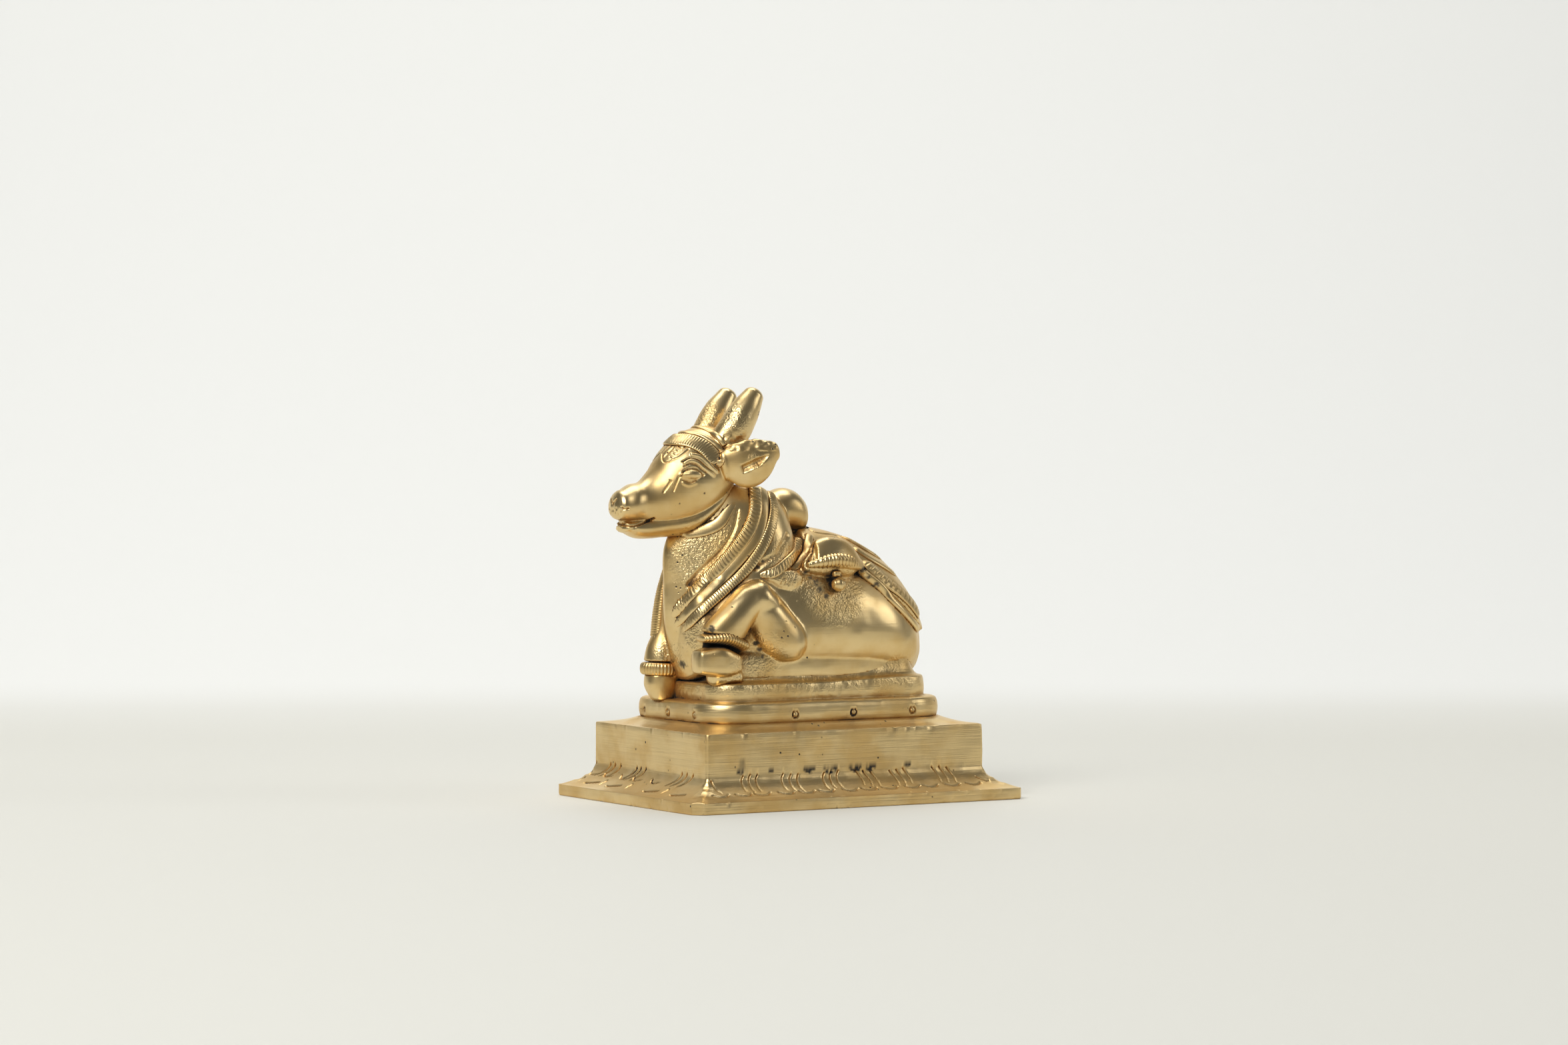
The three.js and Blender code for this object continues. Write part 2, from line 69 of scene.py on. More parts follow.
MM = 0.001
CATMULL_TENSION = 0.5
VIEW_AZIMUTH = 31.0  # degrees from the bull's left side towards its front
MOST_TRIANGLES = 190_000  # in one piece
Array = np.ndarray
Piece = bpy.types.Object
Socket = bpy.types.NodeSocket
Point = tuple[float, float]
Place = tuple[float, float, float]
Colour = tuple[float, float, float]
Station = tuple[float, ...]


class Side(Enum):
    """A side of the bull. It faces -X, so its left is towards -Y."""

    LEFT = -1
    RIGHT = 1


# ---- shared modelling tools


def catmull(points: Array, at: Array) -> Array:
    """Points on the smooth curve through some points.

    Args:
        points: the points to pass through, one row each.
        at: places along the curve, from 0 at its start to 1 at its end.

    Returns:
        One row for each place.
    """
    points = np.asarray(points, float)
    padded = np.vstack([2 * points[0] - points[1], points, 2 * points[-1] - points[-2]])
    place = np.clip(np.asarray(at, float), 0, 1) * (len(points) - 1)
    first = np.minimum(place.astype(int), len(points) - 2)
    t = (place - first)[:, None]
    a, b, c, d = (padded[first + k] for k in range(4))
    start, end = CATMULL_TENSION * (c - a), CATMULL_TENSION * (d - b)
    return (
        (2 * t**3 - 3 * t**2 + 1) * b
        + (t**3 - 2 * t**2 + t) * start
        + (-2 * t**3 + 3 * t**2) * c
        + (t**3 - t**2) * end
    )


def run_along(points: Array) -> Array:
    """The distance run up to each point of a path."""
    return np.concatenate([[0], np.cumsum(np.linalg.norm(np.diff(points, axis=0), axis=1))])


def divided(values: Array, run: Array, count: int) -> Array:
    """The rows of a path at a number of even places along its run."""
    stops = np.linspace(0, run[-1], count)
    return np.stack([np.interp(stops, run, axis) for axis in values.T], axis=1)


def even_steps(points: Array, spacing: float) -> Array:
    """The smooth path through some points, with its points at an even spacing.

    Args:
        points: the points to pass through, one row each.
        spacing: the distance between the new points.

    Returns:
        The new points, one row each.
    """
    dense = catmull(points, np.linspace(0, 1, 40 * len(points)))
    run = run_along(dense)
    return divided(dense, run, max(2, int(round(run[-1] / spacing)) + 1))


def spaced(points: Array, facing: Array, spacing: float) -> tuple[Array, Array]:
    """A path and the surface's normals at an even spacing, also where it has a gap.

    Args:
        points: the path's points.
        facing: the surface's normals there.
        spacing: the distance between the new points.

    Returns:
        The new points and their normals.
    """
    run = run_along(points)
    count = max(3, int(run[-1] / spacing) + 1)
    both = divided(np.hstack([points, facing]), run, count)
    return both[:, :3], both[:, 3:]


def soften(values: Array, reach: int, closed: bool) -> Array:
    """A running mean along a path, which takes the steps out of it.

    Args:
        values: one row for each point of the path.
        reach: how many neighbours on each side count.
        closed: whether the path's ends meet.

    Returns:
        The softened rows.
    """
    padded = np.pad(values, ((reach, reach), (0, 0)), mode="wrap" if closed else "edge")
    kernel = np.hanning(2 * reach + 3)[1:-1]
    kernel /= kernel.sum()
    return np.stack([np.convolve(axis, kernel, mode="valid") for axis in padded.T], axis=1)


def unit(vectors: Array) -> Array:
    """The same directions with length one."""
    return vectors / (np.linalg.norm(vectors, axis=-1, keepdims=True) + 1e-12)


def ramp(values: Array, low: float, high: float) -> Array:
    """Rises smoothly from 0 at low to 1 at high."""
    t = np.clip((values - low) / (high - low), 0, 1)
    return t * t * (3 - 2 * t)


def section(turn: Array, square: float) -> tuple[Array, Array]:
    """How far out and up a section is at each turn: round at square 2, boxy above."""
    out, up, power = np.cos(turn), np.sin(turn), 2 / square
    return np.sign(out) * np.abs(out) ** power, np.sign(up) * np.abs(up) ** power


def rough_noise(points: Array, size: float, seed: float = 0.0) -> Array:
    """Smooth noise from about -1 to 1 with lumps of a size in millimetres."""
    shift = Vector((seed, 2.3 * seed, -seed))
    return np.array([noise.noise(Vector(p) / size + shift) for p in points])


def worn_away(points: Array, *layers: Place) -> Array:
    """Uneven wear that only takes away, from layers of (lump size, depth, seed)."""
    return sum(np.abs(rough_noise(points, size, seed)) * depth for size, depth, seed in layers)


def outline_distance(points: Array, outline: Array) -> tuple[Array, Array]:
    """Whether points lie inside a closed outline, and how far they are from it.

    Args:
        points: flat points, one row each.
        outline: the outline's corners in order.

    Returns:
        A truth value and a distance for each point.
    """
    inside = np.zeros(len(points), bool)
    nearest = np.full(len(points), np.inf)
    for start, end in zip(outline, np.roll(outline, -1, axis=0)):
        run = end - start
        away = points - start
        t = np.clip(away @ run / (run @ run), 0, 1)
        nearest = np.minimum(nearest, np.linalg.norm(away - t[:, None] * run, axis=1))
        crosses = (start[1] > points[:, 1]) != (end[1] > points[:, 1])
        rise = run[1] if abs(run[1]) > 1e-9 else 1e-9
        inside ^= crosses & (points[:, 0] < start[0] + away[:, 1] * run[0] / rise)
    return inside, nearest


def deselect_all() -> None:
    """Leaves nothing selected, as a new primitive needs."""
    if bpy.context.object and bpy.context.object.mode != "OBJECT":
        bpy.ops.object.mode_set(mode="OBJECT")
    bpy.ops.object.select_all(action="DESELECT")


def pick(*pieces: Piece) -> None:
    """Selects these pieces alone, with the first one active."""
    deselect_all()
    for piece in pieces:
        piece.select_set(True)
    bpy.context.view_layer.objects.active = pieces[0]


def coordinates(piece: Piece) -> Array:
    """A piece's vertices, in millimetres."""
    values = np.empty(len(piece.data.vertices) * 3, np.float64)
    piece.data.vertices.foreach_get("co", values)
    return values.reshape(-1, 3) / MM


def move_to(piece: Piece, points: Array) -> None:
    """Puts a piece's vertices at these places, given in millimetres."""
    piece.data.vertices.foreach_set("co", (points * MM).ravel())
    piece.data.update()


def normals(piece: Piece) -> Array:
    """A piece's vertex normals."""
    values = np.empty(len(piece.data.vertices) * 3, np.float32)
    piece.data.vertices.foreach_get("normal", values)
    return values.reshape(-1, 3).astype(float)


def grid_of(name: str, grid: Array) -> Piece:
    """A grid primitive whose vertices lie on rows of points, in millimetres.

    Args:
        name: the object's name.
        grid: rows by columns by three.

    Returns:
        The new object.
    """
    rows, columns = grid.shape[:2]
    deselect_all()
    bpy.ops.mesh.primitive_grid_add(x_subdivisions=columns - 1, y_subdivisions=rows - 1, size=1)
    piece = bpy.context.object
    piece.name = piece.data.name = name
    move_to(piece, grid.reshape(-1, 3))
    return piece


def shell(name: str, grid: Array, fill_ends: bool = False) -> Piece:
    """Wraps a grid round rows of points and closes it.

    Args:
        name: the object's name.
        grid: rows by columns by three, in millimetres; its first and last column meet.
        fill_ends: whether the end rows are open rings that need a lid.

    Returns:
        A closed mesh whose faces point outwards.
    """
    piece = grid_of(name, grid)
    bpy.ops.object.mode_set(mode="EDIT")
    bpy.ops.mesh.select_all(action="SELECT")
    bpy.ops.mesh.remove_doubles(threshold=1e-7)
    if fill_ends:
        bpy.ops.mesh.select_all(action="DESELECT")
        bpy.ops.mesh.select_non_manifold(extend=False)
        bpy.ops.mesh.edge_face_add()
        bpy.ops.mesh.select_all(action="SELECT")
    bpy.ops.mesh.normals_make_consistent(inside=False)
    bpy.ops.object.mode_set(mode="OBJECT")
    bpy.ops.object.shade_smooth()
    return piece


def join(name: str, pieces: Sequence[Piece]) -> Piece:
    """Joins pieces into one object.

    Args:
        name: the joined object's name.
        pieces: what is joined, and is gone afterwards.

    Returns:
        The joined object.
    """
    pick(*pieces)
    bpy.ops.object.join()
    joined = bpy.context.object
    joined.name = joined.data.name = name
    return joined


def finish_with(piece: Piece, kind: str, **settings: object) -> None:
    """Adds a modifier with these settings and applies it.

    Args:
        piece: the object that it works on.
        kind: the modifier's type.
        settings: its properties by name.
    """
    pick(piece)
    bpy.ops.object.modifier_add(type=kind)
    modifier = piece.modifiers[-1]
    for key, value in settings.items():
        setattr(modifier, key, value)
    bpy.ops.object.modifier_apply(modifier=modifier.name)


def set_mask(piece: Piece, name: str, values: Array) -> None:
    """Stores one number for each vertex, for the material to read."""
    held = piece.data.attributes
    attribute = held.get(name) or held.new(name, "FLOAT", "POINT")
    attribute.data.foreach_set("value", values.astype(np.float32))


def tree_of(pieces: Sequence[Piece]) -> BVHTree:
    """A tree of all the faces of these pieces, for casting rays.

    Args:
        pieces: the objects that the rays may hit.

    Returns:
        The tree, in millimetres.
    """
    corners: list[Vector] = []
    faces: list[tuple[int, ...]] = []
    for piece in pieces:
        start = len(corners)
        corners += [Vector(p) for p in coordinates(piece)]
        faces += [tuple(start + v for v in p.vertices) for p in piece.data.polygons]
    return BVHTree.FromPolygons(corners, faces)


# ---- forms, bands and strokes


@dataclass
class Form:
    """A rounded form pulled along stations, drawn on the figure's grid in millimetres.

    A station is (upper x, upper z, lower x, lower z, half width, y, taper), with z = 0 on top of
    the seat. Taper draws the section in towards its upper edge. The caps are how far the two ends
    stand out, and a square above 2 makes the section boxy.
    """

    stations: Sequence[Station]
    caps: tuple[float, float] = (1.0, 1.0)
    square: float = 2.0
    hatch_pitch: float = 0.0
    hatch_depth: float = 0.0
    cap_rings: int = 5

    def both(self) -> list[Form]:
        """The form and its mirror image on the bull's other side."""
        flipped = [(*s[:5], -(s[5] if len(s) > 5 else 0), *s[6:]) for s in self.stations]
        return [self, Form(flipped, self.caps, self.square, self.hatch_pitch, self.hatch_depth)]

    def build(self, name: str, base: float, spacing: float) -> Piece:
        """Builds the form.

        Args:
            name: the object's name.
            base: the height of the seat that the form stands on.
            spacing: the size of its faces.

        Returns:
            A closed shell.
        """
        full = np.array([list(s) + [0.0] * (7 - len(s)) for s in self.stations])
        length = np.linalg.norm(np.diff((full[:, 0:2] + full[:, 2:4]) / 2, axis=0), axis=1).sum()
        body, cap = max(4, int(length / spacing)), self.cap_rings
        sides = max(12, int(2 * math.pi * full[:, 4].max() / spacing / 0.8))
        at = np.concatenate([np.zeros(cap), np.linspace(0, 1, body + 1), np.ones(cap)])
        past = np.concatenate([np.arange(cap, 0, -1), np.zeros(body + 1), np.arange(1, cap + 1)])
        past = past / cap
        tops, feet = full[:, [0, 5, 1]], full[:, [2, 5, 3]]
        upper, lower = catmull(tops, at), catmull(feet, at)
        half, taper = catmull(full[:, [4, 6]], at).T
        forward = catmull(tops + feet, at + 1e-3) - catmull(tops + feet, at - 1e-3)
        rise = (upper - lower) / 2
        outward = unit(np.cross(rise, [0.0, 1.0, 0.0]))
        outward *= np.sign((outward * forward).sum(1))[:, None]
        bulge = np.where(np.arange(len(at)) < cap, -self.caps[0], self.caps[1])
        centre = (upper + lower) / 2 + outward * (bulge * np.sin(past * math.pi / 2))[:, None]
        size = np.cos(past * math.pi / 2) * (past < 1)
        if self.hatch_pitch:
            phase = at * length / self.hatch_pitch
            groove = np.maximum(0, np.cos(2 * math.pi * phase)) ** 2 * (past == 0)
            size = size * (1 - self.hatch_depth / half.max() * groove)
        turn = np.linspace(0, 2 * math.pi, sides + 1)
        out, up = section(turn, self.square)
        grid = centre[:, None, :] + rise[:, None, :] * (size[:, None] * up)[..., None]
        grid[..., 1] += size[:, None] * out * half[:, None] * (1 - taper[:, None] * np.sin(turn))
        grid[:, -1] = grid[:, 0]
        grid[..., 2] += base
        return shell(name, grid)


@dataclass
class Ground:
    """The surface that bands and strokes are laid on."""

    base: float
    tree: BVHTree
    step: float = 0.12
    jump: float = 1.2
    far: float = 60.0

    def landings(
        self, line: Sequence[Point], side: Side, spacing: float, plane: float
    ) -> tuple[Array, Array]:
        """Where a line lands on one side when it is pushed on from three quarters in front.

        Args:
            line: (x, z) points on the figure's grid.
            side: the side of the bull that it is seen from.
            spacing: the distance between landings.
            plane: how far from the middle the upright plane is that the line is drawn on.

        Returns:
            The points of its longest unbroken run, and the surface's normals there.
        """
        turn = math.radians(VIEW_AZIMUTH)
        ray = Vector((math.sin(turn), -side.value * math.cos(turn), 0))
        runs: list[list[tuple[float, ...]]] = [[]]
        for x, z in even_steps(np.array(line, float), self.step):
            start = Vector((x, plane * side.value, z + self.base)) - ray * self.far
            hit, normal, _, _ = self.tree.ray_cast(start, ray)
            if hit is None:
                continue
            if runs[-1] and (Vector(runs[-1][-1][:3]) - hit).length > self.jump:
                runs.append([])
            runs[-1].append((*hit, *normal))
        longest = max(runs, key=len)
        if len(longest) < 2:
            return np.zeros((0, 3)), np.zeros((0, 3))
        both = np.array(longest)
        return spaced(both[:, :3], both[:, 3:], spacing)


@dataclass
class Band:
    """A raised band laid over the body, with chased hatching across it.

    Its lines are grooves along it, and its hatching runs between two places, as shares of its
    half width. Its ends fade out over two lengths, and its right end can be tucked under the left.
    """

    line: Sequence[Point]
    plane: float
    width: float
    rise: float
    hatch_pitch: float = 0.0
    hatch_depth: float = 0.0
    hatch_from: float = -0.8
    hatch_to: float = 0.8
    slant: float = 0.0
    lines: Sequence[float] = ()
    closed: bool = False
    square: float = 2.4
    spacing: float = 0.14
    hatch_power: float = 1.5
    fade: tuple[float, float] = (0.0, 0.0)
    tuck: float = 0.0
    sided: bool = False

    def build(self, name: str, ground: Ground) -> list[Piece]:
        """Builds the band on each side, or once where it goes over both.

        Args:
            name: the object's name.
            ground: what it lies on.

        Returns:
            Closed shells, half sunk in the surface.
        """
        paths = [ground.landings(self.line, side, self.spacing, self.plane) for side in Side]
        if not self.sided:
            (left, left_facing), (right, right_facing) = paths
            skip = int(self.tuck / self.spacing)
            over = np.vstack([left, right[skip:][::-1]])
            paths = [(over, np.vstack([left_facing, right_facing[skip:][::-1]]))]
        return [self.along(name, *spaced(*path, self.spacing)) for path in paths]

    def along(self, name: str, points: Array, facing: Array) -> Piece:
        """Builds the band along a path whose surface faces these ways.

        Args:
            name: the object's name.
            points: the band's middle line, in even steps.
            facing: the surface's normals along it.

        Returns:
            A closed shell, half sunk in the surface.
        """
        reach = max(2, int(1.6 / self.spacing))
        points = soften(points, reach // 2, self.closed)
        facing = unit(soften(facing, reach, self.closed))
        ahead = np.roll(points, -1, axis=0) - np.roll(points, 1, axis=0)
        if not self.closed:
            ahead[0], ahead[-1] = points[1] - points[0], points[-1] - points[-2]
        across = unit(np.cross(unit(ahead), facing))
        run = run_along(points)
        turn = np.concatenate([np.linspace(0, math.pi, 11), [-math.pi / 2, 2 * math.pi]])
        out, up = section(turn, self.square)
        height = np.tile(up * self.rise, (len(points), 1))
        if self.hatch_pitch:
            phase = (run[:, None] + self.slant * out) / self.hatch_pitch
            groove = np.maximum(0, np.cos(2 * math.pi * phase)) ** self.hatch_power
            inside = (out > self.hatch_from) & (out < self.hatch_to) & (up > 0)
            height -= self.hatch_depth * groove * inside
        for place in self.lines:
            height -= 0.25 * self.rise * np.exp(-(((out - place) / 0.12) ** 2)) * (up > 0)
        ends, low = np.ones(len(points)), np.ones(len(points))
        if not self.closed:
            count = max(2, int(0.4 * self.width / self.spacing))
            rounding = np.sqrt(1 - (1 - np.arange(count) / count) ** 2)
            ends[:count], ends[-count:] = rounding, rounding[::-1]
        for gap, length in zip((run, run[-1] - run), self.fade):
            if length:
                low = np.minimum(low, np.sin(np.clip(gap / length, 0, 1) * math.pi / 2))
        width = (ends * (0.35 + 0.65 * low))[:, None] * out * self.width / 2
        grid = points[:, None, :] + across[:, None, :] * width[..., None]
        grid = grid + facing[:, None, :] * (height * (ends * low)[:, None])[..., None]
        return shell(name, np.concatenate([grid, grid[:1]], axis=0) if self.closed else grid)


@dataclass
class Stroke:
    """A cut of a chisel or a punch, or where the depth is below zero, a raised ridge."""

    line: Sequence[Point]
    width: float = 0.5
    depth: float = 0.25
    tapered: bool = False
    plane: float = 6.0

    def carve(self, points: Array, facing: Array, path: Array) -> Array:
        """Sinks the points that lie along a path, in place.

        Args:
            points: the piece's vertices.
            facing: their normals.
            path: the stroke's line on the surface.

        Returns:
            How far into the cut each point lies, from 0 to 1, and 0 for all on a ridge.
        """
        chased = np.zeros(len(points))
        if len(path) < 2:
            return chased
        low, high = path.min(0) - self.width, path.max(0) + self.width
        close = np.nonzero(np.all((points > low) & (points < high), axis=1))[0]
        runs = np.diff(path, axis=0)
        long = (runs**2).sum(1) + 1e-12
        best, where = np.full(len(close), np.inf), np.zeros(len(close))
        for i, (start, run) in enumerate(zip(path, runs)):
            away = points[close] - start
            t = np.clip(away @ run / long[i], 0, 1)
            gap = np.linalg.norm(away - t[:, None] * run, axis=1)
            nearer = gap < best
            best[nearer] = gap[nearer]
            where[nearer] = (i + t[nearer]) / len(runs)
        reach = self.width / 2 * (1 - 0.75 * where if self.tapered else 1)
        cut = self.depth * np.clip(1 - (best / reach) ** 2, 0, None)
        cut = cut * (1 - 0.5 * where if self.tapered else 1)
        shift = facing[close] * cut[:, None]
        points[close] -= shift
        if self.depth > 0:
            chased[close] = np.linalg.norm(shift, axis=1) / self.depth
        return chased


def carve_all(
    points: Array, facing: Array, cuts: Sequence[tuple[Stroke, Array]], widest: float = math.inf
) -> Array:
    """Cuts strokes along their paths, in place.

    Args:
        points: the piece's vertices.
        facing: their normals.
        cuts: each stroke with its path.
        widest: strokes as wide as this or wider leave no mark on the mask.

    Returns:
        The mask of chased cuts.
    """
    chased = np.zeros(len(points))
    for stroke, path in cuts:
        marked = stroke.carve(points, facing, path)
        if stroke.width < widest:
            chased = np.maximum(chased, marked)
    return chased


# ---- the plinth


@dataclass
class Plinth:
    """The stepped plinth: a flared slab, a block, and a seat of two rounded tiers.

    Sizes are the model's driving sizes, in millimetres, from the ground up.
    """

    slab_edge: float = 1.9
    flare_height: float = 3.9
    flare_reach: float = 4.8
    block_height: float = 6.8
    ledge: float = 3.6
    ledge_rise: float = 1.2
    lower_tier: float = 3.4
    tier_step: float = 2.3
    upper_tier: float = 3.0
    slab_corner: float = 1.1
    block_corner: float = 0.7
    upper_corner: float = 5.0
    seat_half: tuple[float, float] = (21.0, 13.2)
    corner_steps: int = 12

    def __post_init__(self) -> None:
        """Works out the half size and the top of each storey."""
        seat = np.array(self.seat_half)
        self.lower_half = seat + self.tier_step
        self.block_half = self.lower_half + self.ledge
        self.block_foot = self.slab_edge + self.flare_height
        self.block_top = self.block_foot + self.block_height
        self.ledge_top = self.block_top + self.ledge_rise
        self.lower_top = self.ledge_top + self.lower_tier
        self.seat_top = self.lower_top + self.upper_tier

    def flare(self, climb: float) -> tuple[float, float]:
        """How far out and how high the hollow flare is, at a share of its climb."""
        out = self.flare_reach * (1 - math.sin(climb * math.pi / 2) ** 1.25)
        high = self.flare_height * (1 - math.cos(climb * math.pi / 2)) ** 0.8
        return out, self.slab_edge + high

    def tier(
        self, foot: float, top: float, half: Array, corner: float, bulge: float
    ) -> Array:
        """The levels of a tier whose side bulges in its middle.

        Args:
            foot: the height where it starts.
            top: the height where it ends.
            half: its half sizes along X and Y.
            corner: the radius of its corners.
            bulge: how far its side stands out, as a share of the shape.

        Returns:
            Rows of height, half sizes and corner.
        """
        shape = [(0, 0.4), (0.12, 0.2), (0.4, 0), (0.72, 0.15), (0.92, 0.6), (1, 1.5)]
        levels = [
            (foot + share * (top - foot), *(half - inset * bulge), corner - inset * bulge)
            for share, inset in shape
        ]
        return catmull(np.array(levels), np.linspace(0, 1, 16))

    def plinth_levels(self) -> Array:
        """The levels of slab, flare, block and ledge: height, half sizes and corner."""
        hx, hy = self.block_half
        sx, sy = self.block_half + self.flare_reach
        rows: list[tuple[float, ...]] = [
            (0, sx - 0.2, sy - 0.2, self.slab_corner),
            (0.1, sx - 0.06, sy - 0.06, self.slab_corner),
        ]
        for high in np.linspace(0.35, self.slab_edge - 0.1, 4):
            rows.append((high, sx, sy, self.slab_corner))
        for climb in np.linspace(0.01, 1, 50):
            out, high = self.flare(climb)
            corner = self.slab_corner + (self.block_corner - self.slab_corner) * climb
            rows.append((high, hx + out, hy + out, corner))
        for high in np.linspace(self.block_foot + 0.4, self.block_top - 0.2, 8):
            rows.append((high, hx, hy, self.block_corner))
        rows.append((self.block_top - 0.04, hx - 0.08, hy - 0.08, self.block_corner))
        rows.append((self.block_top + 0.02, hx - 0.25, hy - 0.25, self.block_corner * 1.2))
        corner = self.upper_corner + self.tier_step
        for share in np.linspace(0.14, 1, 7):
            inset = self.ledge * share
            high = self.block_top + self.ledge_rise * (0.25 * share + 0.75 * share**3)
            radius = self.block_corner + (corner - self.block_corner) * share**1.5
            rows.append((high, hx - inset, hy - inset, radius))
        return np.array(rows, float)

    def seat_levels(self) -> Array:
        """The levels of the two tiers and of the cove that climbs to the bull's flanks."""
        corner = self.upper_corner + self.tier_step
        seat = np.array(self.seat_half)
        rows = [(self.ledge_top - 0.4, *(self.lower_half - 0.7), corner - 0.7)]
        rows += list(self.tier(self.ledge_top, self.lower_top, self.lower_half, corner, 0.7))
        rows.append((self.lower_top - 0.05, *(seat + 0.3), self.upper_corner + 0.3))
        rows += list(self.tier(self.lower_top, self.seat_top, seat, self.upper_corner, 0.4)[1:])
        for turn in np.linspace(0.1, 1, 12) * math.pi / 2:
            inset = 0.6 + 1.5 * math.sin(turn)
            high = self.seat_top + 1 - math.cos(turn)
            rows.append((high, *(seat - inset), self.upper_corner - inset * 0.6))
        rows.append((self.seat_top + 1, *(seat - 4), self.upper_corner - 3))
        return np.array([tuple(row) for row in rows], float)

    def ring(self, level: Array, straight: tuple[int, int]) -> Array:
        """One level's outline, with its straights and corners divided alike on every level.

        Args:
            level: its height, half sizes and corner.
            straight: the steps of its long and of its short straights.

        Returns:
            The outline's points, the last one on the first.
        """
        high, hx, hy, radius = level
        corner = np.linspace(0, 1, self.corner_steps + 1)
        points: list[Array] = []
        ends = [(1, 1), (-1, 1), (-1, -1), (1, -1)]
        for k, (sx, sy) in enumerate(ends):
            centre = np.array([sx * (hx - radius), sy * (hy - radius)])
            turn = (k + corner) * math.pi / 2
            arc = centre + radius * np.stack([np.cos(turn), np.sin(turn)], axis=1)
            nx, ny = ends[(k + 1) % 4]
            goal = np.array([nx * (hx - radius), ny * (hy - radius)])
            after = (k + 1) * math.pi / 2
            goal = goal + radius * np.array([math.cos(after), math.sin(after)])
            share = np.linspace(0, 1, straight[k % 2] + 1)[1:-1, None]
            points += list(arc) + list(arc[-1] + (goal - arc[-1]) * share)
        points.append(points[0])
        flat = np.array(points)
        return np.column_stack([flat, np.full(len(flat), high)])

    def on_flare(self, face: int, along: float, climb: float) -> Place:
        """A place on the flare.

        Args:
            face: 0 for the bull's left, 1 its front, 2 its right and 3 its back.
            along: the distance from the middle of that face, to the right as it is seen.
            climb: the share of the way up the flare.

        Returns:
            The point, in millimetres.
        """
        out, high = self.flare(climb)
        hx, hy = self.block_half
        places = [(along, -hy - out), (-hx - out, -along), (-along, hy + out), (hx + out, along)]
        return (*places[face], high)

    def flare_cut(
        self, face: int, along: float, line: Sequence[Point], *cut: float
    ) -> tuple[Stroke, Array]:
        """A cut drawn on the flare as (along, climb) points, with its width and depth.

        Args:
            face: the face that it is on, as in on_flare.
            along: where its origin is on that face.
            line: its points.
            cut: its width and depth, and whether it is tapered.

        Returns:
            The stroke, and its path on the flare.
        """
        steps = catmull(np.array(line, float), np.linspace(0, 1, 11))
        path = np.array([self.on_flare(face, along + x, max(0.02, c)) for x, c in steps])
        return Stroke(line, *cut), path

    def long_petals(self, face: int) -> list[tuple[Stroke, Array]]:
        """The petals of a long face: crescents in threes that turn over at the middle."""
        first_cut = [(0, 0.85), (0.2, 0.66), (0.9, 0.42)]
        last_cut = [(-1, 0.6), (0.6, 0.42), (1.4, 0.55)]
        left = [(0.55, 0.97), (0.1, 0.82), (0, 0.66), (0.05, 0.52), (0.3, 0.41)]
        right = [(-0.75, 0.95), (-0.15, 0.78), (0.1, 0.62), (-0.1, 0.45)]
        cup = [(-1.45, 0.41), (-0.8, 0.35), (0.1, 0.32), (0.9, 0.34), (1.45, 0.4)]
        cuts = [self.flare_cut(face, -26.1, first_cut, 0.5, 0.28, True)]
        for group, first in enumerate((-20.6, -13.0, -5.1, 2.2, 8.8, 17.2)):
            line = left if group < 3 else right
            for k in range(3):
                at = first + k * (1.35 + 0.1 * (group % 2))
                drop = 0.03 * math.sin(2.7 * group + 1.3 * k + face)
                tilted = [(x, c + drop) for x, c in line]
                cuts.append(self.flare_cut(face, at, tilted, 0.44, 0.24, True))
        for k in range(13):
            at = -25.6 + 4.05 * k + 0.3 * math.sin(2.3 * k + face)
            cuts.append(self.flare_cut(face, at, cup, 0.42, 0.2))
        return [*cuts, self.flare_cut(face, 25.6, last_cut, 0.5, 0.25, True)]

    def end_petals(self, face: int) -> list[tuple[Stroke, Array]]:
        """The petals of a short face: long sweeping strokes over ticks, nicks and dashes."""
        sweep = [(0, 0.97), (-0.7, 0.8), (-1.9, 0.66), (-3.3, 0.55)]
        tick = [(0, 0.68), (0.35, 0.6), (1.2, 0.58), (3.0, 0.63)]
        dash = [(0, 0.29), (1.2, 0.3), (4.0, 0.37)]
        nick = [(0.3, 0.45), (-0.1, 0.36), (0, 0.27)]
        kinds = [
            (sweep, (0.55, 0.34, True), (-20, -18.4, -13.5, -11.9, -9.9, -4.3, -3.0, -1.3)),
            (sweep, (0.55, 0.34, True), (10.9, 12.5, 14.5)),
            (tick, (0.6, 0.34, True), (-18.9, -13.9, -8.2, -3.8, 2.3)),
            (dash, (0.5, 0.28), (-16.8, -9.2, 3.5, 12.4)),
            (nick, (0.75, 0.34, True), (-19.4, -11.5, -2.6, 9.6)),
        ]
        return [self.flare_cut(face, at, line, *cut) for line, cut, ats in kinds for at in ats]

    def corner_dents(self) -> list[tuple[Stroke, Array]]:
        """The hollows filed on either side of each mitre of the flare."""
        cuts = []
        hx, hy = self.block_half
        for face, reach in ((0, hx), (1, hy), (2, hx), (3, hy)):
            for end in (-1, 1):
                for past, climb, width in ((1.2, 0.42, 2.6), (0.3, 0.66, 2.0)):
                    at = end * (reach + past)
                    spot = [(at, climb), (at + 0.02, climb)]
                    cuts.append(self.flare_cut(face, 0, spot, width, 0.13))
        return cuts

